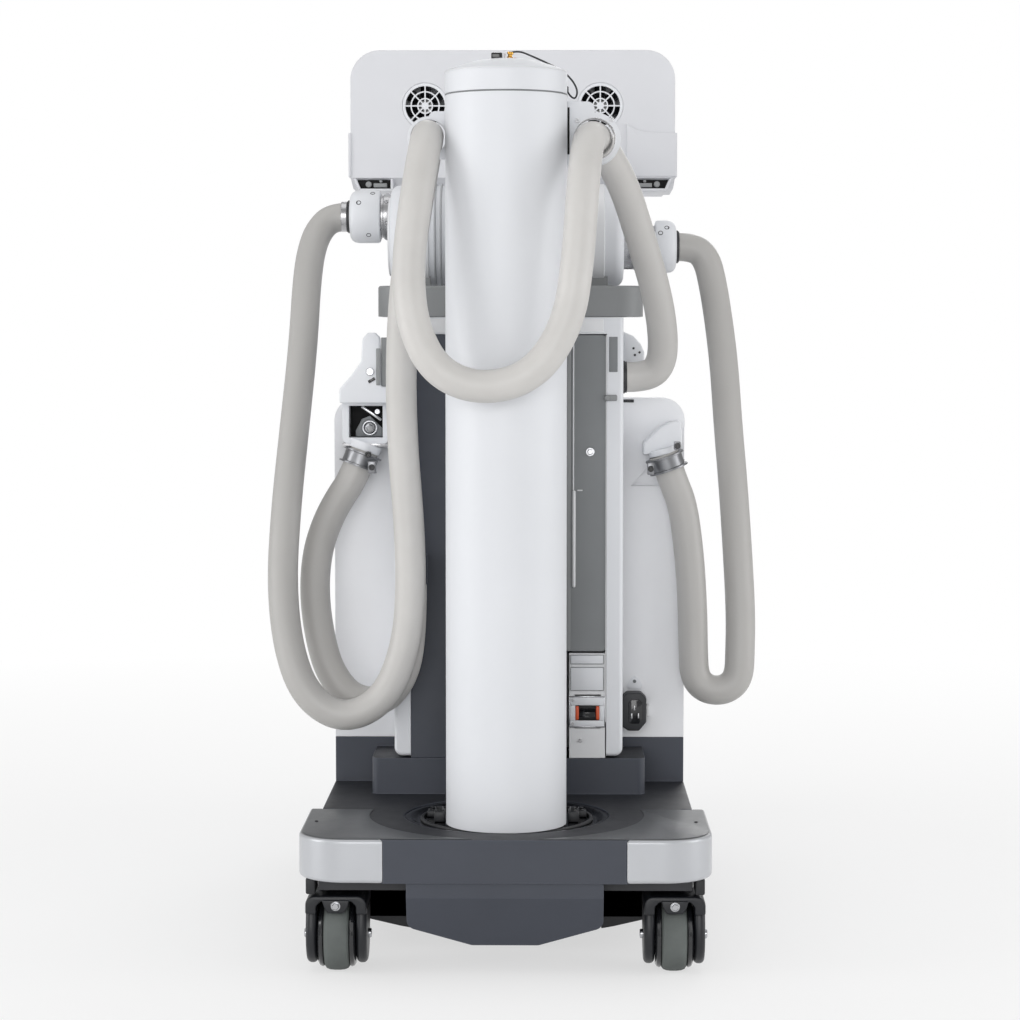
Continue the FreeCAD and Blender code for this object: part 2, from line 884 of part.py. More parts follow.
def horn(side, end_x, centre_z, neck_length, cap_length):
    """Cable receptacle on an end of the tube: a metal neck and a round cap."""
    face = V(side * end_x, tube_y, centre_z)
    out = V(side, 0, 0)
    outline = [
        (0, 0),
        (horn_neck_radius, 0),
        (horn_neck_radius, neck_length),
        (horn_radius, neck_length),
        (horn_radius, neck_length + cap_length - horn_edge),
        (horn_radius - horn_edge * 0.3, neck_length + cap_length - horn_edge * 0.3),
        (horn_radius - horn_edge, neck_length + cap_length),
        (0, neck_length + cap_length),
    ]
    return revolved(outline, face, out)


def horn_left():
    return horn(-1, tube_left, horn_left_z, horn_left_neck, horn_left_cap)


def horn_right():
    return horn(1, tube_right, horn_right_z, horn_right_neck, horn_right_cap)


def collimator_body():
    top = port_bottom - sliding_clearance
    turret = cylinder(turret_radius, V(0, tube_y, turret_bottom - 1), V(0, tube_y, top))
    case = both_sides(collimator_half_width, tube_y - collimator_half_depth, tube_y + collimator_half_depth,
                      collimator_bottom, turret_bottom)
    case = rounded(case, collimator_corner, 2)
    window = both_sides(window_half, tube_y - window_half, tube_y + window_half, collimator_bottom - 1,
                        collimator_bottom + window_depth)
    knob_z = collimator_bottom + knob_rise
    knobs = both(cylinder(knob_radius, V(collimator_half_width - 1, tube_y, knob_z),
                          V(collimator_half_width + knob_length, tube_y, knob_z)))
    bore = cylinder(pivot_radius + running_clearance, V(0, tube_y, port_bottom - pivot_length - 2),
                    V(0, tube_y, top + 1))
    return case.fuse([turret, knobs]).removeSplitter().cut(window).cut(bore)


def spine_shell():
    outer = both_sides(half_spine, step_y, body_y - skin_gap, spine_bottom, spine_top)
    outer = rounded(outer, spine_corner, 1, lambda p: p.z < spine_bottom + 1)
    outer = rounded(outer, spine_edge, 2, lambda p: p.y < step_y + 1)
    recess = both_sides(half_recess, step_y - 1, body_y - spine_back_wall, spine_bottom - 1, recess_top)
    step_clear = both_sides(step_width / 2 + 1, step_y + 1, body_y, 0, step_top + skin_gap)
    return outer.cut(recess).cut(step_clear)


def channel_panel():
    """Dark pillar behind the column: it stands on the step, in the spine's recess."""
    left = -half_recess + skin_gap
    depth = body_y - spine_back_wall - skin_gap
    pillar = box(left, channel_right, step_y, depth, step_top + skin_gap, recess_top - skin_gap)
    groove = both_sides(groove_half_width, step_y - 1, step_y + groove_depth, step_top, recess_top)
    return pillar.cut(groove).fuse(pillar_socket()).removeSplitter()


def service_cover():
    front = step_y + 1
    panel = box(cover_left, cover_right, front, front + cover_thickness, cover_bottom + panel_gap,
                recess_top - panel_gap)
    panel = rounded(panel, cover_corner, 1)
    back = body_y - spine_back_wall - skin_gap
    low = box(cover_left, cover_right, step_y + cover_thickness, back,
              cover_bottom + cover_rib_inset, cover_bottom + cover_rib_inset + cover_rib)
    high = box(cover_left, cover_right, step_y + cover_thickness, back,
               recess_top - cover_rib_inset - cover_rib, recess_top - cover_rib_inset)
    return panel.fuse([low, high])


def switch_panel():
    panel = box(cover_left, cover_right, step_y + 1, body_y - spine_back_wall - skin_gap,
                step_top + skin_gap, cover_bottom - panel_gap)
    wide = switch_half_width + skin_gap
    tall = switch_half_height + skin_gap
    pocket = box(switch_x - wide, switch_x + wide, step_y, step_y + switch_pocket_depth,
                 switch_z - tall, switch_z + tall)
    return panel.cut(pocket)


def main_switch():
    """Breaker in the switch panel's pocket, with a slot for its rocker."""
    body = box(switch_x - switch_half_width, switch_x + switch_half_width, step_y + switch_front_gap,
               step_y + switch_pocket_depth, switch_z - switch_half_height, switch_z + switch_half_height)
    slot = cylinder(rocker_radius + sliding_clearance, *rocker_line(rocker_half_width + sliding_clearance))
    pin = cylinder(rocker_pin_radius, *rocker_line(rocker_half_width + 2 * sliding_clearance))
    return body.cut(slot).fuse(pin)


def rocker_line(half_length):
    """The two ends of a line along the rocker's pivot."""
    y = step_y + rocker_depth
    return V(switch_x - half_length, y, switch_z), V(switch_x + half_length, y, switch_z)


def switch_rocker():
    rocker = cylinder(rocker_radius, *rocker_line(rocker_half_width))
    notch = [(step_y - rocker_proud, switch_z - rocker_half_height), (step_y - 1, switch_z),
             (step_y - rocker_proud, switch_z + rocker_half_height)]
    wide = rocker_half_width + 2
    face = profile_x(notch, switch_x - wide, switch_x + wide)
    pin = cylinder(rocker_pin_radius + running_clearance, *rocker_line(wide))
    return rocker.cut(face).cut(pin)


def mains_inlet():
    block = box(inlet_left, inlet_right, body_y - inlet_depth, body_y - skin_gap, inlet_bottom, inlet_top)
    return rounded(block, inlet_corner, 1)


def cabinet_shell():
    side = [
        (body_y, body_top + skin_gap),
        (body_y, cabinet_top),
        (body_y + cabinet_shoulder, cabinet_top),
        (body_y + cabinet_shoulder + cabinet_slope, bay_top),
        (body_rear_y, bay_top),
        (body_rear_y, body_top + skin_gap),
    ]
    cabinet = profile_x(side, -half_base, half_base)
    cabinet = rounded(cabinet, cabinet_corner, 2, lambda p: p.y > body_rear_y - 1)
    front_view = both_sides(half_base, body_y - 1, body_rear_y + 1, body_top, cabinet_top)
    cabinet = cabinet.common(rounded(front_view, shoulder_radius, 1, lambda p: p.z > cabinet_top - 1))
    scoop = prism([V(half_base + 1, body_y - 1, scoop_top), V(half_base + 1, body_y - 1, scoop_bottom),
                   V(half_base - scoop_width, body_y - 1, scoop_bottom)], V(0, scoop_depth, 0))
    return cabinet.cut(scoop)


def gland_left():
    """Housing with a window, and the sleeve that the clamp closes on."""
    front = body_y - gland_depth
    left = gland_left_x - gland_left_half_width
    right = gland_left_x + gland_left_half_width
    top = gland_left_z + gland_left_height
    block = box(left, right, front, body_y - skin_gap, gland_left_z, top)
    block = rounded(block, gland_corner, 1)
    window = box(left + gland_window_margin, right - gland_window_margin, front - 1, body_y - gland_corner,
                 gland_left_z + gland_window_margin, top - gland_window_top)
    return block.cut(window).fuse(gland_sleeve(cable_left_path[0], cable_left_path[1])).removeSplitter()


def gland_sleeve(end, inward):
    """The stub of a gland that a cable's end butts against."""
    back = V(end).sub(inward).normalize()
    return cylinder(gland_radius - sleeve_wall, end + back * sleeve_length, end)


def gland_right():
    block = both_sides(gland_right_half_width, body_y - gland_depth, body_y - skin_gap,
                       gland_right_z, gland_right_z + gland_right_height)
    block = rounded(block.translated(V(gland_right_x, 0, 0)), gland_corner, 1)
    return block.fuse(gland_sleeve(cable_right_path[-1], cable_right_path[-2])).removeSplitter()


def cable(points):
    """Straight runs joined by tangent arcs, each as large as its two runs allow."""
    arcs = []
    radii = []
    for before, point, after in zip(points, points[1:], points[2:]):
        back = before.sub(point)
        ahead = after.sub(point)
        half_turn = (math.pi - back.getAngle(ahead)) / 2
        shorter = min(back.Length, ahead.Length)
        reach = 0.45 * shorter
        radius = reach / math.tan(half_turn)
        radii.append(radius)
        start = point + V(back).normalize() * reach
        end = point + V(ahead).normalize() * reach
        inward = (V(back).normalize() + V(ahead).normalize()).normalize()
        middle = point + inward * (radius / math.cos(half_turn) - radius)
        arcs.append((start, middle, end))
    edges = []
    here = points[0]
    for start, middle, end in arcs:
        edges.append(Part.LineSegment(here, start).toShape())
        edges.append(Part.Arc(start, middle, end).toShape())
        here = end
    edges.append(Part.LineSegment(here, points[-1]).toShape())
    path = Part.Wire(edges)
    circle = Part.makeCircle(cable_radius, points[0], points[1].sub(points[0]))
    solid = path.makePipeShell([Part.Wire(circle)], True, False)
    expected = math.pi * cable_radius ** 2 * path.Length
    print("cable length %.0f, smallest radius %.0f, volume ratio %.4f"
          % (path.Length, min(radii), solid.Volume / expected))
    return solid


def clamp(end, inward):
    """A band round the last of a cable, with the lug that its screw closes."""
    along = V(inward).normalize()
    start = end + along * clamp_gap
    stop = start + along * clamp_band
    band = tube(gland_radius + clamp_wall, cable_radius + sliding_clearance, start, stop)
    aside = V(0, -1, -0.4).normalize()
    lug = box(-lug_half_width, lug_half_width, -lug_half_height, lug_half_height, -lug_half_height,
              lug_half_height)
    lug.translate((start + stop) * 0.5 + aside * (gland_radius + lug_half_width))
    return band.fuse(lug).removeSplitter()


def clamp_left():
    return clamp(cable_left_path[0], cable_left_path[1].sub(cable_left_path[0]))


def clamp_right():
    return clamp(cable_right_path[-1], cable_right_path[-2].sub(cable_right_path[-1]))


def hose_socket():
    """Socket on the spine's side, where the cable of the head comes out."""
    end = cable_feed_path[0]
    return cylinder(socket_radius, V(half_spine, end.y, end.z), end)


def pillar_socket():
    """Box on the pillar's front that the left cable goes up into."""
    end = cable_left_path[-1]
    half = cable_radius - skin_gap
    top = end.z + socket_box_height
    block = box(end.x - half, end.x + half, end.y - cable_radius, step_y - skin_gap, end.z, top)
    foot = box(-half_recess + skin_gap, end.x + half, step_y - 2, step_y + 1, end.z, top)
    return rounded(block, socket_box_corner, 2, lambda p: p.y < end.y).fuse(foot)


def ring_bracket(side, across, radius, bore_radius, depth, height, rise):
    """Cable ring on an arm from the column's side."""
    y0 = column_y - ring_setback - depth / 2
    y1 = y0 + depth
    centre = V(side * across, 0, height)
    ring = cylinder(radius, centre + V(0, y0, 0), centre + V(0, y1, 0))
    inner = side * (half_column + skin_gap)
    outer = side * across
    root = box(min(inner, outer), max(inner, outer), y0, y1, height - radius, height + rise)
    root = rounded(root, ring_root_corner, 1, lambda p: abs(p.x) > half_column + 5)
    bracket = ring.fuse(root).cut(both_sides(half_column + skin_gap, y0 - 1, y1 + 1, 0, column_top))
    bore = cylinder(bore_radius, centre + V(0, y0 - 1, 0), centre + V(0, y1 + 1, 0))
    return bracket.cut(bore).removeSplitter()


def ring_bracket_left():
    return ring_bracket(-1, ring_left_x, ring_left_radius, ring_left_bore, ring_left_depth, ring_left_z,
                        ring_left_rise)


def ring_bracket_right():
    return ring_bracket(1, ring_right_x, ring_right_radius, ring_right_bore, ring_right_depth,
                        ring_right_z, ring_right_rise)


def rest(foot, width, bottom, shoulder, top, setback, thickness):
    """A wedge on the spine's right side."""
    side = half_spine + skin_gap
    outline = [(side, bottom), (half_spine + foot, bottom), (half_spine + width, shoulder),
               (half_spine + width, top), (side, top)]
    return profile_y(outline, step_y + setback, step_y + setback + thickness)


def rest_left():
    return mirrored(rest(rest_left_foot, rest_left_width, rest_left_bottom, rest_left_shoulder,
                         rest_left_top, rest_left_setback, rest_left_thickness))


def rest_right():
    return rest(rest_right_foot, rest_right_width, rest_right_bottom, rest_right_shoulder,
                rest_right_top, rest_right_setback, rest_right_thickness)


def console_side():
    front = console_front_y
    rear = front + console_length
    floor = console_bottom - console_drop
    return [
        (front, console_bottom),
        (front, console_top),
        (front + console_flat, console_top),
        (rear, console_rear_top),
        (rear, floor + console_heel_rise),
        (rear - console_heel, floor),
        (front + console_chin, floor + console_chin_rise),
    ]


def slope_frame():
    """A point on the console's sloping top, the way down the slope and the way out of it."""
    top = V(0, console_front_y + console_flat, console_top)
    rear = V(0, console_front_y + console_length, console_rear_top)
    down = rear.sub(top).normalize()
    return top, down, V(0, -down.z, down.y)


def console_shell():
    half = console_width / 2
    shell = profile_x(console_side(), -half, half)
    front_view = both_sides(half, console_front_y - 1, console_front_y + console_length + 1, 0, console_top)
    front_view = rounded(front_view, console_corner, 1, lambda p: p.z > console_top - 1)
    shell = shell.common(front_view)
    for side in (-1, 1):
        face = V(side * fan_x, console_front_y, fan_z)
        shell = shell.cut(cylinder(fan_radius, face + V(0, -1, 0), face + V(0, fan_pocket, 0)))
    top, down, out = slope_frame()
    shell = shell.cut(screen_block(screen_half_width + skin_gap, skin_gap, screen_thickness))
    for x in (estop_x, key_x):
        base = console_button_point(x)
        shell = shell.cut(cylinder(button_stem_radius + running_clearance, base - out * button_stem_depth,
                                   base + out * button_stem_depth))
    return shell


def console_button_point(x):
    top, down, out = slope_frame()
    return top + down * (screen_length * button_share) + V(x, 0, 0)


def screen_block(half_width, grow, depth):
    top, down, out = slope_frame()
    start = top + down * (screen_offset - grow)
    length = screen_length + 2 * grow
    corners = [
        start + V(-half_width, 0, 0),
        start + V(half_width, 0, 0),
        start + V(half_width, 0, 0) + down * length,
        start + V(-half_width, 0, 0) + down * length,
    ]
    return prism([corner + out * -depth for corner in corners], out * (depth + 1))


def touchscreen():
    return screen_block(screen_half_width, 0, screen_thickness - sliding_clearance)


def estop_button():
    top, down, out = slope_frame()
    base = console_button_point(estop_x)
    stem = cylinder(button_stem_radius, base - out * estop_stem_depth, base + out * (estop_lift + 1))
    head = cylinder(estop_radius, base + out * estop_lift, base + out * estop_height)
    rim = [e for e in head.Edges if abs(e.CenterOfMass.sub(base).dot(out) - estop_height) < 0.1]
    return stem.fuse(head.makeFillet(estop_edge, rim)).removeSplitter()


def key_switch():
    top, down, out = slope_frame()
    base = console_button_point(key_x)
    stem = cylinder(button_stem_radius, base - out * key_stem_depth, base + out * key_stem_height)
    grip = both_sides(key_grip_half_thickness, -key_grip_half_width, key_grip_half_width, 0, key_grip_height)
    grip.rotate(V(0, 0, 0), V(1, 0, 0), math.degrees(math.atan2(-out.y, out.z)))
    grip.translate(base + out * (key_stem_height - 1))
    return stem.fuse(grip).removeSplitter()


def console_neck():
    top = console_bottom - console_drop + 2
    foot = neck_half_width + neck_flare
    outline = [(-foot, bay_top + skin_gap), (foot, bay_top + skin_gap),
               (neck_half_width, top), (-neck_half_width, top)]
    neck = profile_y(outline, neck_front_y, neck_rear_y)
    return neck.cut(profile_x(console_side(), -console_width, console_width))


def fan_grille(side):
    """Rim, rings and spokes, set in the console's front face."""
    centre = V(side * fan_x, 0, fan_z)
    y0 = console_front_y + skin_gap
    y1 = y0 + grille_thickness
    front = centre + V(0, y0, 0)
    back = centre + V(0, y1, 0)
    reach = fan_radius - sliding_clearance
    grille = tube(reach, reach - grille_rim, front, back)
    for radius in grille_rings:
        grille = grille.fuse(tube(radius, radius - grille_ring_width, front, back))
    half = grille_ring_width / 2
    spoke = box(-half, half, y0, y1, grille_hub_radius - 1, reach - grille_rim + 2)
    for turn in range(grille_spokes):
        arm = spoke.copy()
        arm.rotate(V(0, 0, 0), V(0, 1, 0), 360 / grille_spokes * turn)
        grille = grille.fuse(arm.translated(centre))
    return grille.fuse(cylinder(grille_hub_radius, front, back)).removeSplitter()


def fan_rotor(side):
    """Hub on a stub in the pocket's back wall, with twisted blades."""
    centre = V(side * fan_x, 0, fan_z)
    y0 = console_front_y + grille_thickness + fan_front_gap
    y1 = console_front_y + fan_pocket - sliding_clearance
    rotor = cylinder(fan_hub_radius, centre + V(0, y0, 0), centre + V(0, y1, 0))
    blade = both_sides(fan_blade_half_thickness, -fan_blade_half_width, fan_blade_half_width,
                       fan_hub_radius - 2, fan_radius - 3)
    blade.rotate(V(0, 0, 0), V(0, 0, 1), fan_blade_twist)
    blade.translate(V(0, (y0 + y1) / 2 - 4, 0))
    for turn in range(fan_blades):
        one = blade.copy()
        one.rotate(V(0, 0, 0), V(0, 1, 0), 360 / fan_blades * turn)
        rotor = rotor.fuse(one.translated(centre))
    return rotor.removeSplitter()


def push_handle():
    """A bar across the rear, on two arms from the console."""
    bar_y = rear_y - push_radius
    bar = cylinder(push_radius, V(-push_half_width, bar_y, push_z), V(push_half_width, bar_y, push_z))
    start = console_front_y + console_length + skin_gap
    arm = box(push_half_width - push_arm_width, push_half_width, start, bar_y,
              push_z - push_arm_half_height, push_z + push_arm_half_height)
    arm = rounded(arm, push_arm_corner, 0, lambda p: p.y > start + 1)
    return bar.fuse(both(arm)).removeSplitter().cut(drive_bar_slot())


def drive_bar_y():
    return rear_y - 2 * push_radius - drive_bar_gap


def drive_bar_slot():
    radius = drive_bar_radius + sliding_clearance
    reach = push_half_width + 1
    y = drive_bar_y()
    slot = both_sides(reach, y, y + drive_bar_travel, push_z - radius, push_z + radius)
    ends = [cylinder(radius, V(-reach, at, push_z), V(reach, at, push_z)) for at in (y, y + drive_bar_travel)]
    return slot.fuse(ends)


def drive_bar():
    y = drive_bar_y()
    reach = push_half_width - drive_bar_inset
    return cylinder(drive_bar_radius, V(-reach, y, push_z), V(reach, y, push_z))


def rear_tyre(side):
    half = rear_wheel_width / 2
    edge = rear_tyre_edge
    rim = rear_wheel_radius - rear_tyre_depth
    outline = [
        (rim, -half),
        (rear_wheel_radius - edge, -half),
        (rear_wheel_radius, -half + edge),
        (rear_wheel_radius, half - edge),
        (rear_wheel_radius - edge, half),
        (rim, half),
    ]
    return revolved(outline, V(side * rear_wheel_x, rear_wheel_y, rear_wheel_radius), V(1, 0, 0))


def rear_hub(side):
    half = rear_wheel_width / 2
    rim = rear_wheel_radius - rear_tyre_depth
    bore = axle_radius + running_clearance
    lip = rim - rear_rim_lip
    web = lip - rear_tyre_edge
    outline = [
        (bore, -half),
        (rear_hub_boss, -half),
        (rear_hub_dish, -hub_face + 2),
        (web, -hub_face + 2),
        (lip, -half + 2),
        (rim, -half + 2),
        (rim, half - 2),
        (lip, half - 2),
        (web, hub_face / 3),
        (rear_hub_dish, hub_face / 3),
        (rear_hub_boss, hub_face),
        (bore, hub_face),
    ]
    return revolved(outline, V(side * rear_wheel_x, rear_wheel_y, rear_wheel_radius), V(side, 0, 0))


def rear_axle(side):
    """Stub axle in the chassis, with a washer that holds the wheel on."""
    out = V(side, 0, 0)
    centre = V(side * rear_wheel_x, rear_wheel_y, rear_wheel_radius)
    inner_face = centre - out * (rear_wheel_width / 2)
    face = centre + out * (hub_face + washer_gap)
    shaft = cylinder(axle_radius, inner_face - out * axle_depth, face + out * washer_gap)
    washer = cylinder(axle_radius + washer_width, face, face + out * washer_thickness)
    collar = cylinder(axle_radius + collar_width, inner_face - out * collar_depth,
                      inner_face - out * washer_gap)
    return shaft.fuse([washer, collar]).removeSplitter()


def caster_centre(side):
    return V(side * caster_x, caster_y - caster_trail, caster_radius)


def caster_tyre(side):
    half = caster_tread / 2
    rim = caster_radius - caster_tyre_depth
    shoulder = caster_radius - 6
    outline = [
        (rim, -half),
        (shoulder, -half),
        (caster_radius, -half / 2),
        (caster_radius, half / 2),
        (shoulder, half),
        (rim, half),
    ]
    return revolved(outline, caster_centre(side), V(1, 0, 0))


def caster_hub(side):
    half = caster_hub_width / 2
    rim = caster_radius - caster_tyre_depth
    bore = caster_axle_radius + running_clearance
    outline = [
        (bore, -half),
        (12, -half),
        (rim - 6, -half + 5),
        (rim, -half + 7),
        (rim, half - 7),
        (rim - 6, half - 5),
        (12, half),
        (bore, half),
    ]
    return revolved(outline, caster_centre(side), V(1, 0, 0))


def caster_fork(side):
    """Stem, crown and two round guards beside the wheel, with the axle bolt through them."""
    centre = caster_centre(side)
    inner = caster_hub_width / 2 + caster_cheek_gap
    outer = inner + caster_cheek
    front = centre.y - caster_crown_front
    rear = centre.y + caster_crown_rear
    crown_bottom = 2 * caster_radius + caster_crown_gap
    guard = cylinder(caster_guard_radius, V(inner, centre.y, centre.z), V(outer, centre.y, centre.z))
    web = [
        (centre.y - caster_guard_radius, centre.z),
        (front, crown_bottom),
        (front, caster_fork_top),
        (rear, caster_fork_top),
        (centre.y + caster_guard_radius, centre.z),
    ]
    cheek = guard.fuse(profile_x(web, inner, outer)).removeSplitter()
    cheeks = both(cheek).translated(V(centre.x, 0, 0))
    crown = box(centre.x - outer, centre.x + outer, front, rear, crown_bottom, caster_fork_top)
    foot = V(centre.x, caster_y, crown_bottom)
    stem = cylinder(caster_stem_radius, foot, V(centre.x, caster_y, deck_bottom - 1))
    collar = cylinder(caster_collar_radius, foot,
                      V(centre.x, caster_y, deck_bottom - caster_plate_thickness - sliding_clearance))
    reach = V(outer + caster_bolt_length, 0, 0)
    bolt = cylinder(caster_axle_radius, centre - reach, centre + reach)
    return cheeks.fuse([crown, stem, collar, bolt]).removeSplitter()


def build():
    parts = {
        "chassis_frame": chassis_frame(),
        "base_shell": base_shell(),
        "front_skirt": front_skirt(),
        "bumper_right": bumper(),
        "bumper_left": mirrored(bumper()),
        "turntable_ring": turntable_ring(),
        "cabinet_shell": cabinet_shell(),
        "spine_shell": spine_shell(),
        "channel_panel": channel_panel(),
        "service_cover": service_cover(),
        "switch_panel": switch_panel(),
        "main_switch": main_switch(),
        "switch_rocker": switch_rocker(),
        "mains_inlet": mains_inlet(),
        "gland_left": gland_left(),
        "gland_right": gland_right(),
        "clamp_left": clamp_left(),
        "clamp_right": clamp_right(),
        "hose_socket": hose_socket(),
        "ring_bracket_left": ring_bracket_left(),
        "ring_bracket_right": ring_bracket_right(),
        "rest_left": rest_left(),
        "rest_right": rest_right(),
        "console_neck": console_neck(),
        "console_shell": console_shell(),
        "touchscreen": touchscreen(),
        "estop_button": estop_button(),
        "key_switch": key_switch(),
        "push_handle": push_handle(),
        "drive_bar": drive_bar(),
        "column_base": column_base(),
        "column_cover": column_cover(),
        "column_frame": column_frame(),
        "mast": mast(),
        "column_cap": column_cap(),
        "arm_outer": arm_outer(),
        "arm_inner": arm_inner(),
        "yoke": yoke(),
        "tube_housing": tube_housing(),
        "tube_handle": tube_handle(),
        "horn_left": horn_left(),
        "horn_right": horn_right(),
        "collimator_body": collimator_body(),
        "cable_feed": cable(cable_feed_path),
        "cable_right": cable(cable_right_path),
        "cable_left": cable(cable_left_path),
    }
    for name, side in (("left", -1), ("right", 1)):
        parts["fan_grille_" + name] = fan_grille(side)
        parts["fan_rotor_" + name] = fan_rotor(side)
        parts["rear_tyre_" + name] = rear_tyre(side)
        parts["rear_hub_" + name] = rear_hub(side)
        parts["caster_tyre_" + name] = caster_tyre(side)
        parts["caster_hub_" + name] = caster_hub(side)
        parts["caster_fork_" + name] = caster_fork(side)
    return parts


if __name__ == "__main__":
    os.makedirs("parts", exist_ok=True)
    for node, shape in build().items():
        shape.exportStep("parts/" + node + ".step")
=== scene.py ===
import math

import bmesh
import bpy
from mathutils import Matrix, Vector


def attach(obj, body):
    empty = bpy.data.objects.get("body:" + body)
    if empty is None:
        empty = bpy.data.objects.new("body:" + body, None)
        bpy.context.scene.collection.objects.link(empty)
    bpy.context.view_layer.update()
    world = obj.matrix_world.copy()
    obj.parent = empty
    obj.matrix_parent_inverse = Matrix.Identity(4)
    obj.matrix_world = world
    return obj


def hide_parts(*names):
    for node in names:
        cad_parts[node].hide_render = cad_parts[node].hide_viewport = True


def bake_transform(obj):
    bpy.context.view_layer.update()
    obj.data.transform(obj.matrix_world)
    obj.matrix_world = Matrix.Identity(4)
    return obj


# Looks of a mobile x-ray machine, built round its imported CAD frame.
# Places are in millimetres in the CAD's frame, and become metres when a mesh is made.

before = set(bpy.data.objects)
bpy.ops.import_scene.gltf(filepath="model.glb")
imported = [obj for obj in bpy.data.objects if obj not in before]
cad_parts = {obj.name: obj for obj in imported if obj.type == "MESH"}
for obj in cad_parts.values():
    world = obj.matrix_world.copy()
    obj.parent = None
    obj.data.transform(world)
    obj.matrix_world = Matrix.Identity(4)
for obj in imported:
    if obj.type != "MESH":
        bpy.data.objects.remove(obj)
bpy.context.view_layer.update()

MM = 0.001
ROOT = "base"
scene = bpy.context.scene
SHARP_ANGLE = 32
RIM_ANGLE = 0.6
FRONT = (0, -1, 0)
REAR = (0, 1, 0)
RIGHT = (1, 0, 0)
LEFT = (-1, 0, 0)
UP = (0, 0, 1)

# Camera, from the photograph's perspective
LENS = 95.3
SENSOR = 36.0
CAMERA_AT = (53, -4160, 865)
CAMERA_PITCH = 3.7
CAMERA_YAW = 0.74

# Routes of the three cables, as the CAD has them
HOSE_RADIUS = 22
RING_STEP = 4.0
HOSE_STEPS = 28
LEAD_STEPS = 10
FEED_ROUTE = [
    (173, -196, 804), (205, -196, 804), (224, -199, 824), (226, -207, 864), (216, -226, 924),
    (192, -262, 1000), (164, -314, 1080), (132, -376, 1128), (120, -436, 1138), (110, -506, 1126),
    (103, -556, 1060), (97, -572, 966), (84, -576, 880), (40, -578, 812), (-30, -578, 792),
    (-92, -578, 816), (-124, -570, 880), (-130, -556, 960), (-119, -542, 1050), (-108, -502, 1124),
    (-107, -436, 1142), (-113, -374, 1120), (-130, -344, 1030), (-146, -330, 930), (-152, -320, 820),
    (-150, -314, 710), (-141, -312, 600), (-138, -311, 500), (-146, -310, 416), (-176, -309, 343),
    (-234, -307, 313), (-288, -301, 343), (-316, -286, 406), (-330, -250, 500), (-327, -210, 610),
    (-319, -150, 730), (-312, -80, 850), (-312, -10, 950), (-309, 44, 1000), (-299, 70, 1030),
    (-279, 80, 1050), (-252, 80, 1050),
]
RIGHT_ROUTE = [
    (229, -156, 690), (243, -154, 650), (258, -153, 614), (268, -155, 540), (273, -157, 460),
    (274, -158, 398), (276, -160, 356), (295, -161, 338), (323, -161, 338), (342, -160, 356),
    (344, -157, 396), (345, -149, 452), (342, -130, 530), (337, -90, 640), (332, -40, 730),
    (329, 10, 820), (322, 50, 894), (315, 70, 944), (306, 79, 984), (286, 80, 1003), (258, 80, 1003),
]
LEFT_ROUTE = [
    (-216, -156, 694), (-231, -159, 654), (-253, -164, 622), (-272, -172, 584), (-284, -188, 540),
    (-286, -206, 486), (-278, -224, 430), (-262, -238, 374), (-228, -249, 334), (-182, -260, 332),
    (-150, -260, 374), (-140, -261, 440), (-140, -261, 505),
]


def make_camera():
    data = bpy.data.cameras.new("camera")
    data.lens = LENS
    data.sensor_width = SENSOR
    camera = bpy.data.objects.new("camera", data)
    camera.location = [v * MM for v in CAMERA_AT]
    camera.rotation_euler = (math.radians(90 - CAMERA_PITCH), 0, math.radians(CAMERA_YAW))
    scene.collection.objects.link(camera)
    scene.camera = camera


make_camera()


def linear(colour):
    """Scene-linear colour from 0 to 255 display values."""
    out = []
    for value in colour:
        v = value / 255
        out.append(v / 12.92 if v <= 0.04045 else ((v + 0.055) / 1.055) ** 2.4)
    return (*out, 1)


def node(tree, kind, settings=(), **inputs):
    made = tree.nodes.new("ShaderNode" + kind)
    for key, value in settings:
        setattr(made, key, value)
    for key, value in inputs.items():
        made.inputs[key.replace("_", " ")].default_value = value
    return made


def scaled_colour(colour, factor, lift=0.0):
    return (*[min(1, c * factor + lift) for c in colour[:3]], 1)


def mixed(tree, share, under, over):
    """Output that shows one socket where the share is 0, and the colour over it where it is 1."""
    mix = node(tree, "Mix", [("data_type", "RGBA")])
    mix.inputs[7].default_value = over
    tree.links.new(under, mix.inputs[6])
    tree.links.new(share, mix.inputs[0])
    return mix.outputs[2]


def ranged(tree, source, **limits):
    """A socket's value brought from one range to another."""
    made = node(tree, "MapRange", **limits)
    tree.links.new(source, made.inputs["Value"])
    return made.outputs["Result"]


def noise(tree, place, **settings):
    made = node(tree, "TexNoise", **settings)
    tree.links.new(place, made.inputs["Vector"])
    return made.outputs["Fac"]


def along_axis(tree, vector, axis):
    made = node(tree, "SeparateXYZ")
    tree.links.new(vector, made.inputs[0])
    return made.outputs[axis]


def worked_out(tree, kind, operation, *sources):
    """Value of an operation on one or two sockets."""
    made = node(tree, kind, [("operation", operation)])
    for source, socket in zip(sources, made.inputs):
        tree.links.new(source, socket)
    return made.outputs["Value"]


NOISE_RANGE = {"From_Min": 0.3, "From_Max": 0.7}
PATCH_SCALE = 2.7
LEAST_ROUGHNESS = 0.02
# Lighter colour of the painted edge highlights.
EDGE_HIGHLIGHT_FACTOR = 2.2
EDGE_HIGHLIGHT_LIFT = 0.04


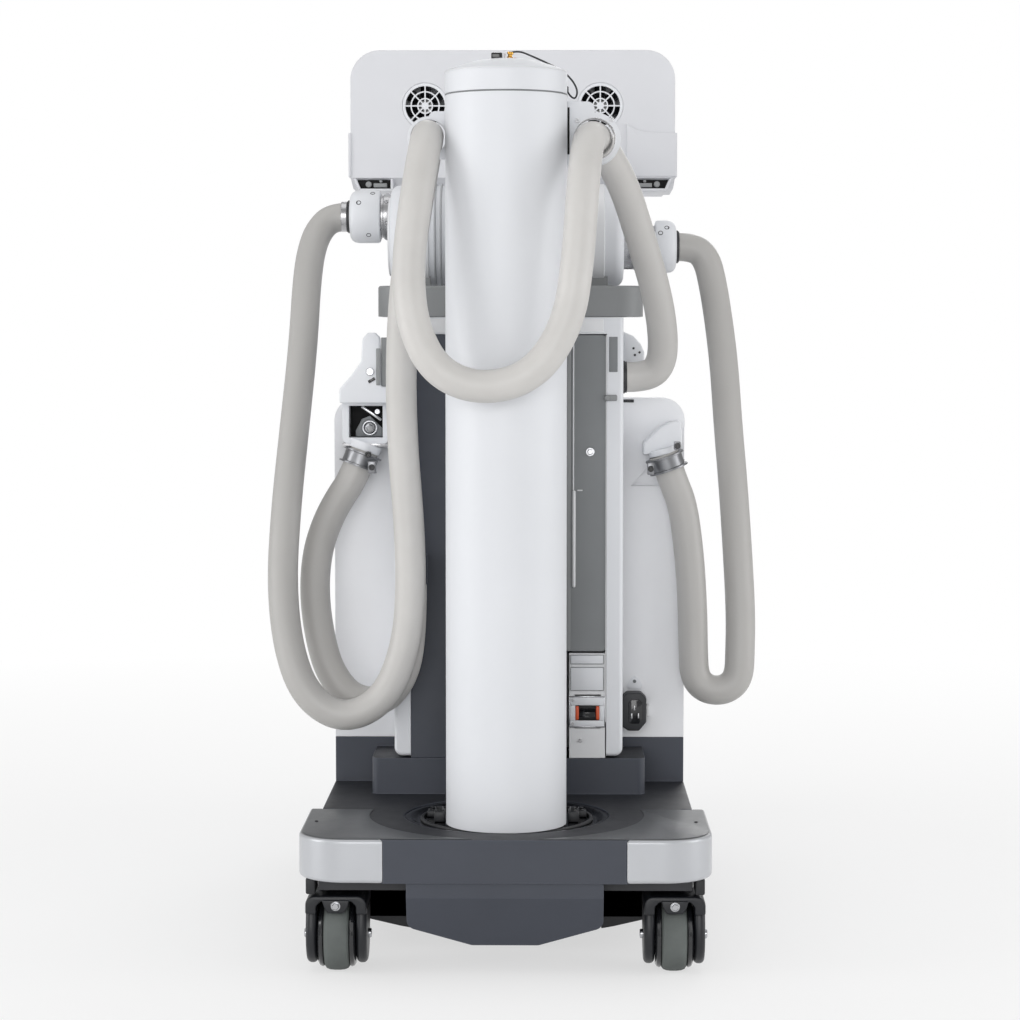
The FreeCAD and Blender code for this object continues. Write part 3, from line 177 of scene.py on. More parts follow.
def finish(name, colour, roughness, metallic=0.0, mottle=0.03, mottle_scale=7.0, spread=0.05,
           grain=0.12, scale=700.0, grain_depth=0.0002, painted_edge_highlight=0.0, rounding=0.0012,
           stretch=(1, 1, 1), coat=0.0, painted_top_shade=None, sheen=0.0, painted_outer_shade=1.0):
    """A procedural surface: broad colour drift, changing gloss, fine grain to a scale, and softened edges;
    painted shade on upward faces and towards the outer sides, and painted highlights on edges, where asked.
    """
    material = bpy.data.materials.new(name)
    material.use_nodes = True
    tree = material.node_tree
    shader = tree.nodes["Principled BSDF"]
    for socket, value in (("Metallic", metallic), ("Coat Weight", coat), ("Sheen Weight", sheen)):
        shader.inputs[socket].default_value = value
    link = tree.links.new
    place = node(tree, "TexCoord").outputs["Object"]
    normal = node(tree, "NewGeometry").outputs["Normal"]
    mapping = node(tree, "Mapping", Scale=stretch)
    link(place, mapping.inputs["Vector"])
    at = mapping.outputs["Vector"]

    base = linear(colour)
    tint = node(tree, "Mix", [("data_type", "RGBA")])
    tint.inputs[6].default_value = scaled_colour(base, 1 - mottle)
    tint.inputs[7].default_value = scaled_colour(base, 1 + mottle)
    broad = noise(tree, at, Scale=mottle_scale, Detail=4.0, Roughness=0.6)
    link(ranged(tree, broad, **NOISE_RANGE), tint.inputs[0])
    shown = tint.outputs[2]
    # Painted shade: faces that point up are mixed towards a darker colour, for the weaker light on tops.
    if painted_top_shade:
        upward = ranged(tree, along_axis(tree, normal, "Z"), From_Min=0.75, From_Max=0.95)
        shown = mixed(tree, upward, shown, linear(painted_top_shade))
    # Painted shade: the colour darkens as the distance from the middle across X grows, for the shade on the
    # outer hoses.
    if painted_outer_shade < 1:
        across = worked_out(tree, "Math", "ABSOLUTE", along_axis(tree, place, "X"))
        outward = ranged(tree, across, From_Min=0.13, From_Max=0.27)
        shown = mixed(tree, outward, shown, scaled_colour(base, painted_outer_shade))
    soft = node(tree, "Bevel", [("samples", 4)], Radius=rounding).outputs["Normal"]
    # Painted highlight: at edges, where the softened normal turns away from the face's normal, the colour is
    # mixed towards a lighter one.
    if painted_edge_highlight:
        facing = worked_out(tree, "VectorMath", "DOT_PRODUCT", soft, normal)
        rim = ranged(tree, facing, From_Min=0.995, From_Max=0.8, To_Max=painted_edge_highlight)
        shown = mixed(tree, rim, shown, scaled_colour(base, EDGE_HIGHLIGHT_FACTOR, EDGE_HIGHLIGHT_LIFT))
    link(shown, shader.inputs["Base Color"])

    patches = noise(tree, at, Scale=mottle_scale * PATCH_SCALE, Detail=5.0, Roughness=0.7)
    gloss = ranged(tree, patches, **NOISE_RANGE, To_Min=max(LEAST_ROUGHNESS, roughness - spread),
                   To_Max=roughness + spread)
    link(gloss, shader.inputs["Roughness"])

    bump = node(tree, "Bump", Strength=grain, Distance=grain_depth)
    link(noise(tree, at, Scale=scale, Detail=2.0), bump.inputs["Height"])
    link(soft, bump.inputs["Normal"])
    link(bump.outputs["Normal"], shader.inputs["Normal"])
    return material


# Materials. Where an edge gain is given, edges get painted highlights.
white = finish("white_plastic", (224, 226, 230), 0.48, mottle=0.012, grain=0.1, scale=420)
# The cabinet's own white plastic, set lighter than the other white to paint light over the shade that falls
# on the cabinet.
cabinet_white_with_painted_light = finish("cabinet_plastic", (233, 234, 237), 0.46, mottle=0.018, scale=500)
console_grey = finish("console_plastic", (214, 215, 219), 0.46, mottle=0.014, grain=0.18,
                      scale=650)
# Slate plastic, with painted shade on its tops and painted highlights on its edges.
slate = finish("slate_plastic", (59, 63, 73), 0.5, mottle=0.05, grain=0.3, scale=900,
               painted_edge_highlight=0.8, rounding=0.002, painted_top_shade=(32, 34, 40))
dark_slate = finish("dark_slate_plastic", (56, 58, 66), 0.5, mottle=0.06, grain=0.3,
                    scale=900)
# Silver paint, with painted shade on its tops and painted highlights on its edges.
silver = finish("silver_paint", (190, 192, 196), 0.34, metallic=0.35, grain=0.25, scale=2600,
                grain_depth=0.0001, painted_edge_highlight=0.8, rounding=0.0018, coat=0.2, painted_top_shade=(118, 119, 121))
# Painted shade: a darker copy of the silver paint for the bumpers' tops, for the weaker light on them.
silver_painted_shade_top = finish("silver_painted_shade_top", (96, 98, 101), 0.34, metallic=0.3, grain=0.25, scale=2600,
                    grain_depth=0.0001)
mid_grey = finish("grey_paint", (124, 127, 129), 0.44, mottle=0.04, grain=0.22, scale=800,
                  painted_edge_highlight=0.2)
light_grey = finish("light_grey_paint", (228, 229, 231), 0.4, grain=0.2, scale=800)
handle_grey = finish("handle_plastic", (140, 142, 143), 0.45, mottle=0.04, grain=0.3,
                     scale=900)
dark = finish("dark_plastic", (42, 43, 46), 0.48, mottle=0.08, grain=0.35, scale=1100,
              painted_edge_highlight=0.2)
caster_black = finish("caster_plastic", (24, 26, 31), 0.4, mottle=0.08, grain=0.25,
                      scale=900, painted_edge_highlight=0.25)
black_gloss = finish("black_gloss", (24, 25, 28), 0.14, mottle=0.1, grain=0.04, scale=300,
                     coat=0.4)
# Painted shade: near-black material put in gaps, slots and openings for the shade inside them.
painted_shade_black = finish("painted_shade_black", (10, 10, 11), 0.8, mottle=0.2)
tyre = finish("tyre_rubber", (98, 103, 101), 0.72, mottle=0.09, mottle_scale=24, grain=0.5,
              scale=1300)
black_rubber = finish("black_rubber", (38, 38, 40), 0.75, mottle=0.1, grain=0.55, scale=1200)
under_black = finish("under_black", (30, 31, 34), 0.55, mottle=0.1, grain=0.3, scale=900)
clamp_steel = finish("clamp_steel", (138, 139, 142), 0.34, metallic=0.9, mottle=0.06, grain=0.25,
                     scale=160, stretch=(9, 9, 1), spread=0.08, painted_edge_highlight=0.3)
rib_grey = finish("rib_plastic", (168, 170, 173), 0.42, grain=0.15)
frame_black = finish("frame_paint", (40, 41, 45), 0.5, mottle=0.1, grain=0.4, scale=900)
steel = finish("brushed_steel", (188, 188, 190), 0.28, metallic=1, mottle=0.05, grain=0.2, scale=160,
               stretch=(1, 1, 9), spread=0.08)
chrome = finish("chrome", (186, 187, 190), 0.16, metallic=1, mottle=0.02, grain=0.03, spread=0.03,
                rounding=0.0005)
aluminium = finish("aluminium", (196, 198, 201), 0.34, metallic=0.9, mottle=0.04, grain=0.25,
                   scale=140, stretch=(6, 6, 0.6))
brass = finish("brass", (190, 146, 70), 0.25, metallic=1, mottle=0.08, grain=0.1, rounding=0.0003)
glass = finish("screen_glass", (16, 20, 26), 0.06, mottle=0.2, grain=0.0, coat=0.6)
red = finish("red_button", (196, 34, 28), 0.28, mottle=0.04, grain=0.05, coat=0.3)
yellow = finish("yellow_plastic", (222, 180, 46), 0.4, mottle=0.04, grain=0.15)
orange = finish("orange_plastic", (214, 88, 48), 0.35, mottle=0.05, grain=0.1)
# Hose sleeve, with painted shade on the hoses away from the middle.
sleeve = finish("hose_sleeve", (205, 203, 200), 0.44, mottle=0.035, mottle_scale=14,
                spread=0.07, grain=0.35, scale=260, grain_depth=0.00035, sheen=0.05, painted_outer_shade=0.72)

# The look of each CAD node. A name that ends in "_" stands for its left and its right one
LOOK_OF_NODES = (
    (slate, "base_shell front_skirt channel_panel"),
    (silver, "bumper_ rear_hub_"),
    (white, "spine_shell gland_ rest_ column_cover column_frame ring_bracket_ column_cap tube_housing horn_ "
            "collimator_body fan_grille_"),
    (cabinet_white_with_painted_light, "cabinet_shell console_neck"),
    (console_grey, "console_shell"),
    (mid_grey, "service_cover"),
    (light_grey, "switch_panel yoke"),
    (handle_grey, "drive_bar arm_outer tube_handle"),
    (aluminium, "mast arm_inner"),
    (frame_black, "chassis_frame column_base"),
    (black_gloss, "turntable_ring switch_rocker fan_rotor_ caster_hub_"),
    (caster_black, "caster_fork_"),
    (tyre, "rear_tyre_ caster_tyre_"),
    (dark, "main_switch mains_inlet hose_socket"),
    (dark_slate, "push_handle"),
    (steel, "clamp_"),
    (chrome, "key_switch"),
    (glass, "touchscreen"),
    (red, "estop_button"),
)


def dress_nodes():
    for material, names in LOOK_OF_NODES:
        for name in names.split():
            for side in ("left", "right") if name.endswith("_") else ("",):
                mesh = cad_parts[name + side].data
                mesh.materials.clear()
                mesh.materials.append(material)


dress_nodes()


def spline_line(route):
    """Points of the smooth line that has the route as its control points, in metres."""
    curve = bpy.data.curves.new("route", "CURVE")
    curve.dimensions = "3D"
    curve.resolution_u = 16
    spline = curve.splines.new("NURBS")
    spline.points.add(len(route) - 1)
    for point, place in zip(spline.points, route):
        point.co = (*[v * MM for v in place], 1)
    spline.order_u = 3
    spline.use_endpoint_u = True
    holder = bpy.data.objects.new("route", curve)
    mesh = bpy.data.meshes.new_from_object(holder)
    line = [v.co.copy() for v in mesh.vertices]
    bpy.data.meshes.remove(mesh)
    bpy.data.objects.remove(holder)
    bpy.data.curves.remove(curve)
    return line


def evenly(line, step):
    """The line again, with its points a step apart."""
    out = [line[0]]
    left = step
    for a, b in zip(line, line[1:]):
        long = (b - a).length
        at = left
        while at <= long:
            out.append(a.lerp(b, at / long))
            at += step
        left = at - long
    if (out[-1] - line[-1]).length > step * 0.3:
        out.append(line[-1])
    else:
        out[-1] = line[-1]
    return out


def rings_along(line):
    """Centre and two cross directions at each point, carried along without twist."""
    rings = []
    side = None
    for i, point in enumerate(line):
        ahead = (line[min(i + 1, len(line) - 1)] - line[max(i - 1, 0)]).normalized()
        if side is None:
            side = ahead.orthogonal().normalized()
        side = (side - ahead * side.dot(ahead)).normalized()
        rings.append((point, side.copy(), ahead.cross(side)))
    return rings


def tube_mesh(rings, radius, steps, capped):
    """Vertices and faces of a round tube on the rings."""
    verts = []
    faces = []
    for centre, side, up in rings:
        for k in range(steps):
            angle = 2 * math.pi * k / steps
            verts.append(centre + (side * math.cos(angle) + up * math.sin(angle)) * radius)
    for i in range(len(rings) - 1):
        for k in range(steps):
            a = i * steps + k
            b = i * steps + (k + 1) % steps
            faces.append([a, b, b + steps, a + steps])
    if capped:
        faces.append(list(range(steps))[::-1])
        faces.append([len(verts) - steps + k for k in range(steps)])
    return verts, faces


def make_object(name, verts, faces, material):
    mesh = bpy.data.meshes.new(name)
    mesh.from_pydata(verts, [], faces)
    mesh.update()
    mesh.polygons.foreach_set("use_smooth", [True] * len(mesh.polygons))
    mesh.set_sharp_from_angle(angle=math.radians(SHARP_ANGLE))
    mesh.materials.append(material)
    made = bpy.data.objects.new(name, mesh)
    scene.collection.objects.link(made)
    return made


def nearest_index(line, place):
    target = Vector(place) * MM
    return min(range(len(line)), key=lambda i: (line[i] - target).length)


def hose(route, cuts, parts, replaced):
    """A cable in pieces that meet end to end, each between two bodies or on one."""
    line = evenly(spline_line(route), RING_STEP * MM)
    rings = rings_along(line)
    ends = [0] + [nearest_index(line, place) for place in cuts] + [len(line) - 1]
    for (name, bodies), first, last in zip(parts, ends, ends[1:]):
        run = rings[first:last + 1]
        verts, faces = tube_mesh(run, HOSE_RADIUS * MM, HOSE_STEPS, False)
        made = make_object(name, verts, faces, sleeve)
        if len(bodies) == 2:
            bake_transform(made)
        else:
            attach(made, bodies[0])
        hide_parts(replaced)


def lead(name, route, radius, material, body):
    """A thin wire on one body."""
    line = evenly(spline_line(route), 2 * radius * MM)
    verts, faces = tube_mesh(rings_along(line), radius * MM, LEAD_STEPS, True)
    made = make_object(name, verts, faces, material)
    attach(made, body)


def make_hoses():
    hose(FEED_ROUTE, [(120, -430, 1138), (-107, -430, 1142), (-176, -309, 350), (-330, -250, 500),
                      (-317, -130, 760)],
         [("hose_feed_a", (ROOT, "column")), ("hose_feed_b", ("column",)),
          ("hose_feed_c", ("column", "mast")), ("hose_feed_d", ("mast", "arm")),
          ("hose_feed_e", ("arm", "yoke")), ("hose_feed_f", ("yoke", "head"))],
         "cable_feed")
    hose(RIGHT_ROUTE, [(274, -158, 404), (343, -136, 504), (331, -18, 769)],
         [("hose_right_a", (ROOT, "column")), ("hose_right_b", ("column", "mast")),
          ("hose_right_c", ("mast", "arm")), ("hose_right_d", ("arm", "yoke"))],
         "cable_right")
    hose(LEFT_ROUTE, [], [("hose_left", (ROOT,))], "cable_left")


make_hoses()


def from_bmesh(bm):
    bm.verts.index_update()
    form = ([v.co.copy() for v in bm.verts], [[v.index for v in f.verts] for f in bm.faces])
    bm.free()
    return form


def box(x0, x1, y0, y1, z0, z1, edge=1.5, steps=2):
    bm = bmesh.new()
    bmesh.ops.create_cube(bm, size=1)
    for v in bm.verts:
        v.co = ((x0 + x1) / 2 + v.co.x * (x1 - x0), (y0 + y1) / 2 + v.co.y * (y1 - y0),
                (z0 + z1) / 2 + v.co.z * (z1 - z0))
    bmesh.ops.bevel(bm, geom=bm.edges[:], offset=edge, segments=steps, profile=0.5, affect="EDGES")
    return from_bmesh(bm)


def plate(outline, plane, start, depth, edge=1.0, steps=2):
    """An outline in plane xz, yz or xy, pushed along the third axis, with softened edges."""
    put = {"xz": lambda a, b, c: (a, c, b), "yz": lambda a, b, c: (c, a, b),
           "xy": lambda a, b, c: (a, b, c)}[plane]
    bm = bmesh.new()
    low = [bm.verts.new(put(a, b, start)) for a, b in outline]
    high = [bm.verts.new(put(a, b, start + depth)) for a, b in outline]
    count = len(outline)
    bm.faces.new(low[::-1])
    bm.faces.new(high)
    for i in range(count):
        j = (i + 1) % count
        bm.faces.new([low[i], low[j], high[j], high[i]])
    bmesh.ops.recalc_face_normals(bm, faces=bm.faces[:])
    if edge:
        rims = [e for e in bm.edges if e.calc_face_angle(0) > RIM_ANGLE]
        bmesh.ops.bevel(bm, geom=rims, offset=edge, segments=steps, profile=0.5, affect="EDGES")
    return from_bmesh(bm)


def arc_points(middle, radius, first, last, steps):
    """Points on an arc in a plane, from one angle to another in degrees."""
    points = []
    for k in range(steps + 1):
        angle = math.radians(first + (last - first) * k / steps)
        points.append((middle[0] + radius * math.cos(angle), middle[1] + radius * math.sin(angle)))
    return points


def rounded_rectangle(a0, a1, b0, b1, radius):
    left, right, low, high = a0 + radius, a1 - radius, b0 + radius, b1 - radius
    points = []
    for k, corner in enumerate(((right, high), (left, high), (left, low), (right, low))):
        points += arc_points(corner, radius, 90 * k, 90 * k + 90, 6)
    return points


def lathe(profile, at, axis, steps=40):
    """A profile of radius and height turned round an axis."""
    axis = Vector(axis).normalized()
    side = axis.orthogonal().normalized()
    up = axis.cross(side)
    at = Vector(at)
    verts = []
    rows = []
    for radius, height in profile:
        centre = at + axis * height
        if radius < 0.01:
            verts.append(centre)
            rows.append([len(verts) - 1] * steps)
        else:
            rows.append(list(range(len(verts), len(verts) + steps)))
            for k in range(steps):
                angle = 2 * math.pi * k / steps
                verts.append(centre + (side * math.cos(angle) + up * math.sin(angle)) * radius)
    faces = []
    for low, high in zip(rows, rows[1:]):
        for k in range(steps):
            j = (k + 1) % steps
            corners = dict.fromkeys((low[k], low[j], high[j], high[k]))
            if len(corners) > 2:
                faces.append(list(corners))
    return verts, faces


def disc_ring(inner, outer, height, at, axis, edge=0.8, steps=40):
    """A flat ring with softened edges."""
    profile = [(inner, 0), (outer - edge, 0), (outer, edge), (outer, height - edge), (outer - edge, height),
               (inner, height), (inner, 0)]
    return lathe(profile, at, axis, steps)


def torus(ring, thick, at, axis, steps=48):
    return lathe(arc_points((ring, 0), thick, 0, 360, 12), at, axis, steps)


def bar(start, end, radius, steps=20, edge=1.0):
    """A round bar with softened ends."""
    start = Vector(start)
    along = Vector(end) - start
    long = along.length
    profile = [(0, 0), (radius - edge, 0), (radius, edge), (radius, long - edge), (radius - edge, long),
               (0, long)]
    return lathe(profile, start, along, steps)


def bolt_head(at, out, radius, height=None, sides=6):
    """A hex head on a round washer."""
    at = Vector(at)
    out = Vector(out).normalized()
    height = height or radius * 0.6
    washer = lathe([(0, 0), (radius * 1.25, 0), (radius * 1.35, radius * 0.08), (radius * 1.25, radius * 0.2),
                    (0, radius * 0.2)], at, out, 24)
    head = lathe([(0, 0), (radius, 0), (radius, height * 0.8), (radius * 0.82, height), (0, height)],
                 at + out * radius * 0.15, out, sides)
    return merged(washer, head)


def cap_screw(at, out, radius, height=None):
    """A round head with a socket in it."""
    height = height or radius * 0.7
    profile = [(0, height * 0.35), (radius * 0.45, height * 0.35), (radius * 0.5, height),
               (radius * 0.82, height), (radius, height * 0.75), (radius, -0.5)]
    return lathe(profile, at, out, 24)


def merged(*forms):
    verts = []
    faces = []
    for form_verts, form_faces in forms:
        start = len(verts)
        verts += form_verts
        faces += [[i + start for i in face] for face in form_faces]
    return verts, faces


def mirror(form):
    return [Vector((-v[0], v[1], v[2])) for v in form[0]], [face[::-1] for face in form[1]]


def both(*forms):
    return merged(*forms, *[mirror(form) for form in forms])


def turned(form, degrees, axis, about):
    spin = Matrix.Rotation(math.radians(degrees), 3, axis)
    about = Vector(about)
    return [spin @ (Vector(v) - about) + about for v in form[0]], form[1]


def spoke(degrees):
    """Direction at an angle round the X axis, from the rear over the top."""
    angle = math.radians(degrees)
    return Vector((0, math.cos(angle), math.sin(angle)))


def four_bars(x_span, z_bars, x_bars, z_span, y_span, edges, steps=2):
    """Two bars across and two upright ones, with the edge radius of each pair."""
    across = [box(*x_span, *y_span, *z_bar, edges[0], steps) for z_bar in z_bars]
    upright = [box(*x_bar, *y_span, *z_span, edges[1], steps) for x_bar in x_bars]
    return merged(*across, *upright)


def piece(name, form, material, body=ROOT, replaced=""):
    """A visible piece from one form or a list of them."""
    verts, faces = merged(*form) if isinstance(form, list) else form
    made = make_object(name, [Vector(v) * MM for v in verts], faces, material)
    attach(made, body)
    if replaced:
        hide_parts(replaced)


# Faces, axes and sizes of the CAD that pieces are placed by
CONSOLE_FRONT = 280
CONSOLE_HALF = 265
SPINE_FRONT = -237
CABINET_REAR = 520
CABINET_HALF = 262
HEAD_Y = 80
HEAD_Z = 1020
COLUMN_AXIS_Y = -409
COLUMN_HALF = 83
COLUMN_MIDDLE = -464
COLUMN_REAR = -330
STEM_Y = -490
CASTER_X = 229
CASTER_Y = -516
CASTER_RADIUS = 50
REAR_AXLE = (380, 120)
SLOPE_TOP = Vector((0, 340, 1329))
SLOPE_DOWN = Vector((0, 0.7904, -0.6126))
SLOPE_OUT = Vector((0, 0.6126, 0.7904))


def console_trim():
    wing = [(186, 1209.5), (189, 1207.5), (202, 1201), (214, 1197.6), (235, 1195.6), (267, 1195),
            (267, 1124), (186, 1124)]
    piece("console_wing", plate(wing, "xz", CONSOLE_FRONT - 3, 4, 1.2), console_grey)
    band = box(CONSOLE_HALF - 1, CONSOLE_HALF + 3.5, CONSOLE_FRONT - 2.9, 497, 1123, 1195, 1.6)
    piece("console_bands", both(band), console_grey)
    outer = [(-262, 1123), (-252, 1101), (-196, 1101), (-196, 1123)]
    inner = [(-257, 1123.5), (-249, 1105), (-200, 1105), (-200, 1123.5)]
    walls = [plate([outer[k], outer[k + 1], inner[k + 1], inner[k]], "xz", 284, 190, 0.6) for k in range(3)]
    piece("console_tray", both(*walls), console_grey)
    # Painted shade: a black block inside the open trays, for their shaded insides.
    piece("console_tray_shade", both(box(-254, -201, 292, 470, 1104.5, 1121, 1)), painted_shade_black)
    fittings = [bar((-236, 286, 1112), (-236, 300, 1112), 5), box(-228, -206, 286, 296, 1107, 1114, 1),
                bar((-216, 284, 1117), (-216, 292, 1117), 2.5)]
    piece("console_tray_fittings", both(*fittings), handle_grey)


console_trim()


def ring_details():
    """Steel lip in the right ring, painted shade in the gap beside it, and its screws."""
    at = (120.5, -441.2, 1133)
    lip = [torus(28.6, 1, at, REAR), lathe([(27.8, 0), (27.8, 22)], at, REAR)]
    piece("ring_lip", lip, steel, "column")
    # Painted shade: a black strip in the gap beside the ring.
    piece("ring_gap_shade", box(83.6, 86.4, -442.8, -418, 1112, 1176, 0.6), painted_shade_black, "column")
    screws = [cap_screw((x, -442, z), FRONT, 3.4) for x, z in ((144, 1159), (97, 1158))]
    piece("ring_screws", screws, light_grey, "column")


ring_details()


def horn(side, end_x, centre_z, neck, cap, screw_places):
    """Cable receptacle on the head: metal neck with screws, domed white cap, and a collar."""
    name = "left" if side < 0 else "right"
    at = (side * end_x, HEAD_Y, centre_z)
    out = (side, 0, 0)
    profile = [(0, -2), (34, -2), (35, 0), (35, neck - 5), (33, neck - 4), (33, neck - 1), (36, neck)]
    screws = []
    for angle in range(20, 380, 60):
        place = Vector(at) + Vector(out) * (neck * 0.4) + spoke(angle) * 34.5
        screws.append(cap_screw(place, spoke(angle), 3.2))
    piece("horn_neck_" + name, [lathe(profile, at, out, 56), *screws], steel, "head")
    dome = [(0, neck), (36, neck), (39.5, neck + 1.5), (41, neck + 4), (41, neck + cap - 15),
            (40, neck + cap - 9), (37.5, neck + cap - 4.5), (33, neck + cap - 1.5), (27, neck + cap - 0.3),
            (25, neck + cap), (0, neck + cap)]
    piece("horn_cap_" + name, lathe(dome, at, out, 64), white, "head", "horn_" + name)
    end = end_x + neck + cap
    collar = lathe([(21.6, 0), (25.5, 0), (25.5, 2.4), (24, 3), (24, 4), (21.6, 4)],
                   (side * end, HEAD_Y, centre_z), out, 48)
    piece("horn_collar_" + name, collar, dark, "head")
    if side < 0:
        sleeve_ring = disc_ring(22.2, 23.6, 9, (side * (end + 4), HEAD_Y, centre_z), out, 0.5, 48)
        piece("horn_ring_" + name, sleeve_ring, steel, "head")
    holes = []
    for x, angle in screw_places:
        ray = spoke(180 - angle)
        place = Vector((side * x, HEAD_Y, centre_z)) + ray * 40.6
        holes.append(lathe([(0, 0.2), (2.6, 0.2), (3.4, 0.9), (4, 0.2), (4, -1)], place, ray, 20))
    piece("horn_screws_" + name, holes, dark, "head")


horn(-1, end_x=187, centre_z=1050, neck=16, cap=49, screw_places=[(221, -46), (236, 30), (215, 60)])
horn(1, end_x=175, centre_z=1003, neck=49, cap=34, screw_places=[(232, 30), (242, 45)])


def strip_round(outline, inset, low, high):
    """A band between an outline in plan and the same outline drawn in by a little."""
    count = len(outline)
    middle = Vector([sum(values) / count for values in zip(*outline)])
    outer = [Vector(point) for point in outline]
    inner = [middle + (point - middle) * (1 - inset / (point - middle).length) for point in outer]
    verts = []
    for loop, z in ((outer, low), (outer, high), (inner, high), (inner, low)):
        verts += [Vector((*point, z)) for point in loop]
    faces = []
    for row in range(4):
        for k in range(count):
            j = (k + 1) % count
            first = row * count
            next_row = (row + 1) % 4 * count
            faces.append([first + k, first + j, next_row + j, next_row + k])
    return verts, faces


def column_plan(grow):
    """Plan of the column: round in front and flat at the sides and the rear."""
    half = COLUMN_HALF + grow
    return [(-half, COLUMN_REAR + grow), *arc_points((0, COLUMN_MIDDLE), half, 180, 360, 32),
            (half, COLUMN_REAR + grow)]


def cap_details():
    piece("cap_seam", strip_round(column_plan(0.35), 3, 1189.4, 1191.2), mid_grey, "column")
    middle = (0, COLUMN_MIDDLE)
    rim = [*arc_points(middle, COLUMN_HALF + 0.25, 180, 360, 40),
           *arc_points(middle, COLUMN_HALF - 3, 360, 180, 40)]
    piece("cap_rim", plate(rim, "xy", 1220.6, 1.2, 0), light_grey, "mast")
    piece("cap_plug", box(-20, -5, -478, -462, 1238, 1247, 1.5), black_gloss, "mast")
    stem = [(0, 0), (4.2, 0), (4.2, 3), (3, 3.6), (3, 6), (4.4, 6.6), (4.4, 9.5), (2.6, 10.2), (0, 10.2)]
    piece("cap_connector", lathe(stem, (5, -470, 1238.5), (0.1, -0.1, 1)), brass, "mast")
    piece("cap_dot", cap_screw((12, -474, 1238), (0.1, -0.3, 1), 2.6), orange, "mast")
    route = [(6, -470, 1247), (16, -472, 1250), (34, -470, 1243), (58, -462, 1233), (78, -450, 1224),
             (92, -438, 1211), (98, -428, 1198), (94, -420, 1188), (85, -416, 1196), (83, -414, 1202)]
    lead("cap_lead", route, 1.3, dark, "mast")
    grommet = lathe([(0, -1), (4.2, -1), (4.2, 1.2), (3.2, 2.2), (0, 2.2)], (83, -414, 1203), RIGHT)
    piece("cap_grommet", grommet, dark, "mast")


cap_details()


def spine_details():
    """Trim of the spine's front, and the brackets on its sides."""
    trim = [(-248, 766), (-248, 787), (-231, 806), (-216, 827), (-214, 860), (-206, 869), (-196, 869),
            (-189, 862), (-187, 790), (-168, 790), (-168, 766)]
    piece("left_rest", plate(trim, "xz", -206, 30, 2.5, 3), white, ROOT, "rest_left")
    slot = [box(-194, -187.5, -207.2, -204, 792, 846, 1), box(-187, -169, -200, -196, 784, 862, 0.8)]
    piece("left_rest_slot", slot, handle_grey)
    piece("left_rest_screw", cap_screw((-203, -206, 812), FRONT, 6), chrome)
    notch = turned(box(-206, -195, -207.4, -205, 797, 801.5, 0.8), -30, "Y", (-201, -206, 799))
    piece("left_rest_notch", notch, black_gloss)
    lug = [(168, 871), (184, 864), (195, 852), (200, 840), (200, 826), (195, 814), (188, 809), (168, 809)]
    piece("right_rest", plate(lug, "xz", -157, 28, 3, 3), white, ROOT, "rest_right")
    holes = [bar((x, -158, z), (x, -156, z), 1.8, 14, 0.4) for x, z in ((184, 846), (186, 836), (193, 840))]
    piece("right_rest_holes", holes, dark)
    ring = [(21, 0), (24, 0), (24, 2.4), (22.8, 3.2), (22.8, 5.6), (21, 5.6)]
    piece("socket_ring", lathe(ring, (167.2, -196, 804), RIGHT, 56), dark, ROOT, "hose_socket")
    piece("cover_channel", box(84, 90.5, SPINE_FRONT - 0.6, -228, 405, 866, 0.6), handle_grey)
    bead = [bar((95.5, -237.4, 498), (95.5, -237.4, 640), 2.2, 16, 1.5),
            bar((94.5, -236.6, 640), (94.5, -236.6, 866), 1, 12, 0.5),
            bar((100, SPINE_FRONT, 640), (108, SPINE_FRONT, 640), 1, 12, 0.5)]
    piece("cover_bead", bead, light_grey)
    at = (119, -236.2, 696)
    screw = [disc_ring(4.2, 6.4, 1.6, at, FRONT, 0.5, 32), bolt_head(at, FRONT, 4.4, 3.2)]
    piece("cover_screw", screw, chrome)
    piece("spine_slot", box(146, 158.5, SPINE_FRONT - 0.9, -230, 812, 863, 0.8), mid_grey)
    clip = [box(139, 158, -241, -234, 770, 779, 2), bar((143, -243, 774.5), (143, -238, 774.5), 4)]
    piece("spine_clip", clip, handle_grey)
    piece("cabinet_slot", box(168, 186, -122.2, -119, 765, 769.5, 0.8), dark)
    piece("spine_head_cap", both(box(86, 138, SPINE_FRONT - 1.2, -230, 869, 889, 1.2)), light_grey)
    piece("spine_edges", box(141.4, 142.6, SPINE_FRONT - 0.8, -232, 300, 866, 0.4), light_grey)


spine_details()


def clamp_form(at, along, ear_spans):
    """A rolled steel band with two ears, and the black screws that close it."""
    band = [(22.4, 3), (29.5, 3), (29.5, 5.5), (25.4, 6), (25.4, 22), (29.5, 22.5), (29.5, 25), (22.4, 25)]
    ears = [box(x0, x1, -188, -178, z0, z1, 1.2) for x0, x1, z0, z1 in ear_spans]
    screws = [cap_screw(((x0 + x1) / 2, -188, (z0 + z1) / 2), FRONT, 4.6) for x0, x1, z0, z1 in ear_spans]
    return [lathe(band, at, along, 56), *ears], screws


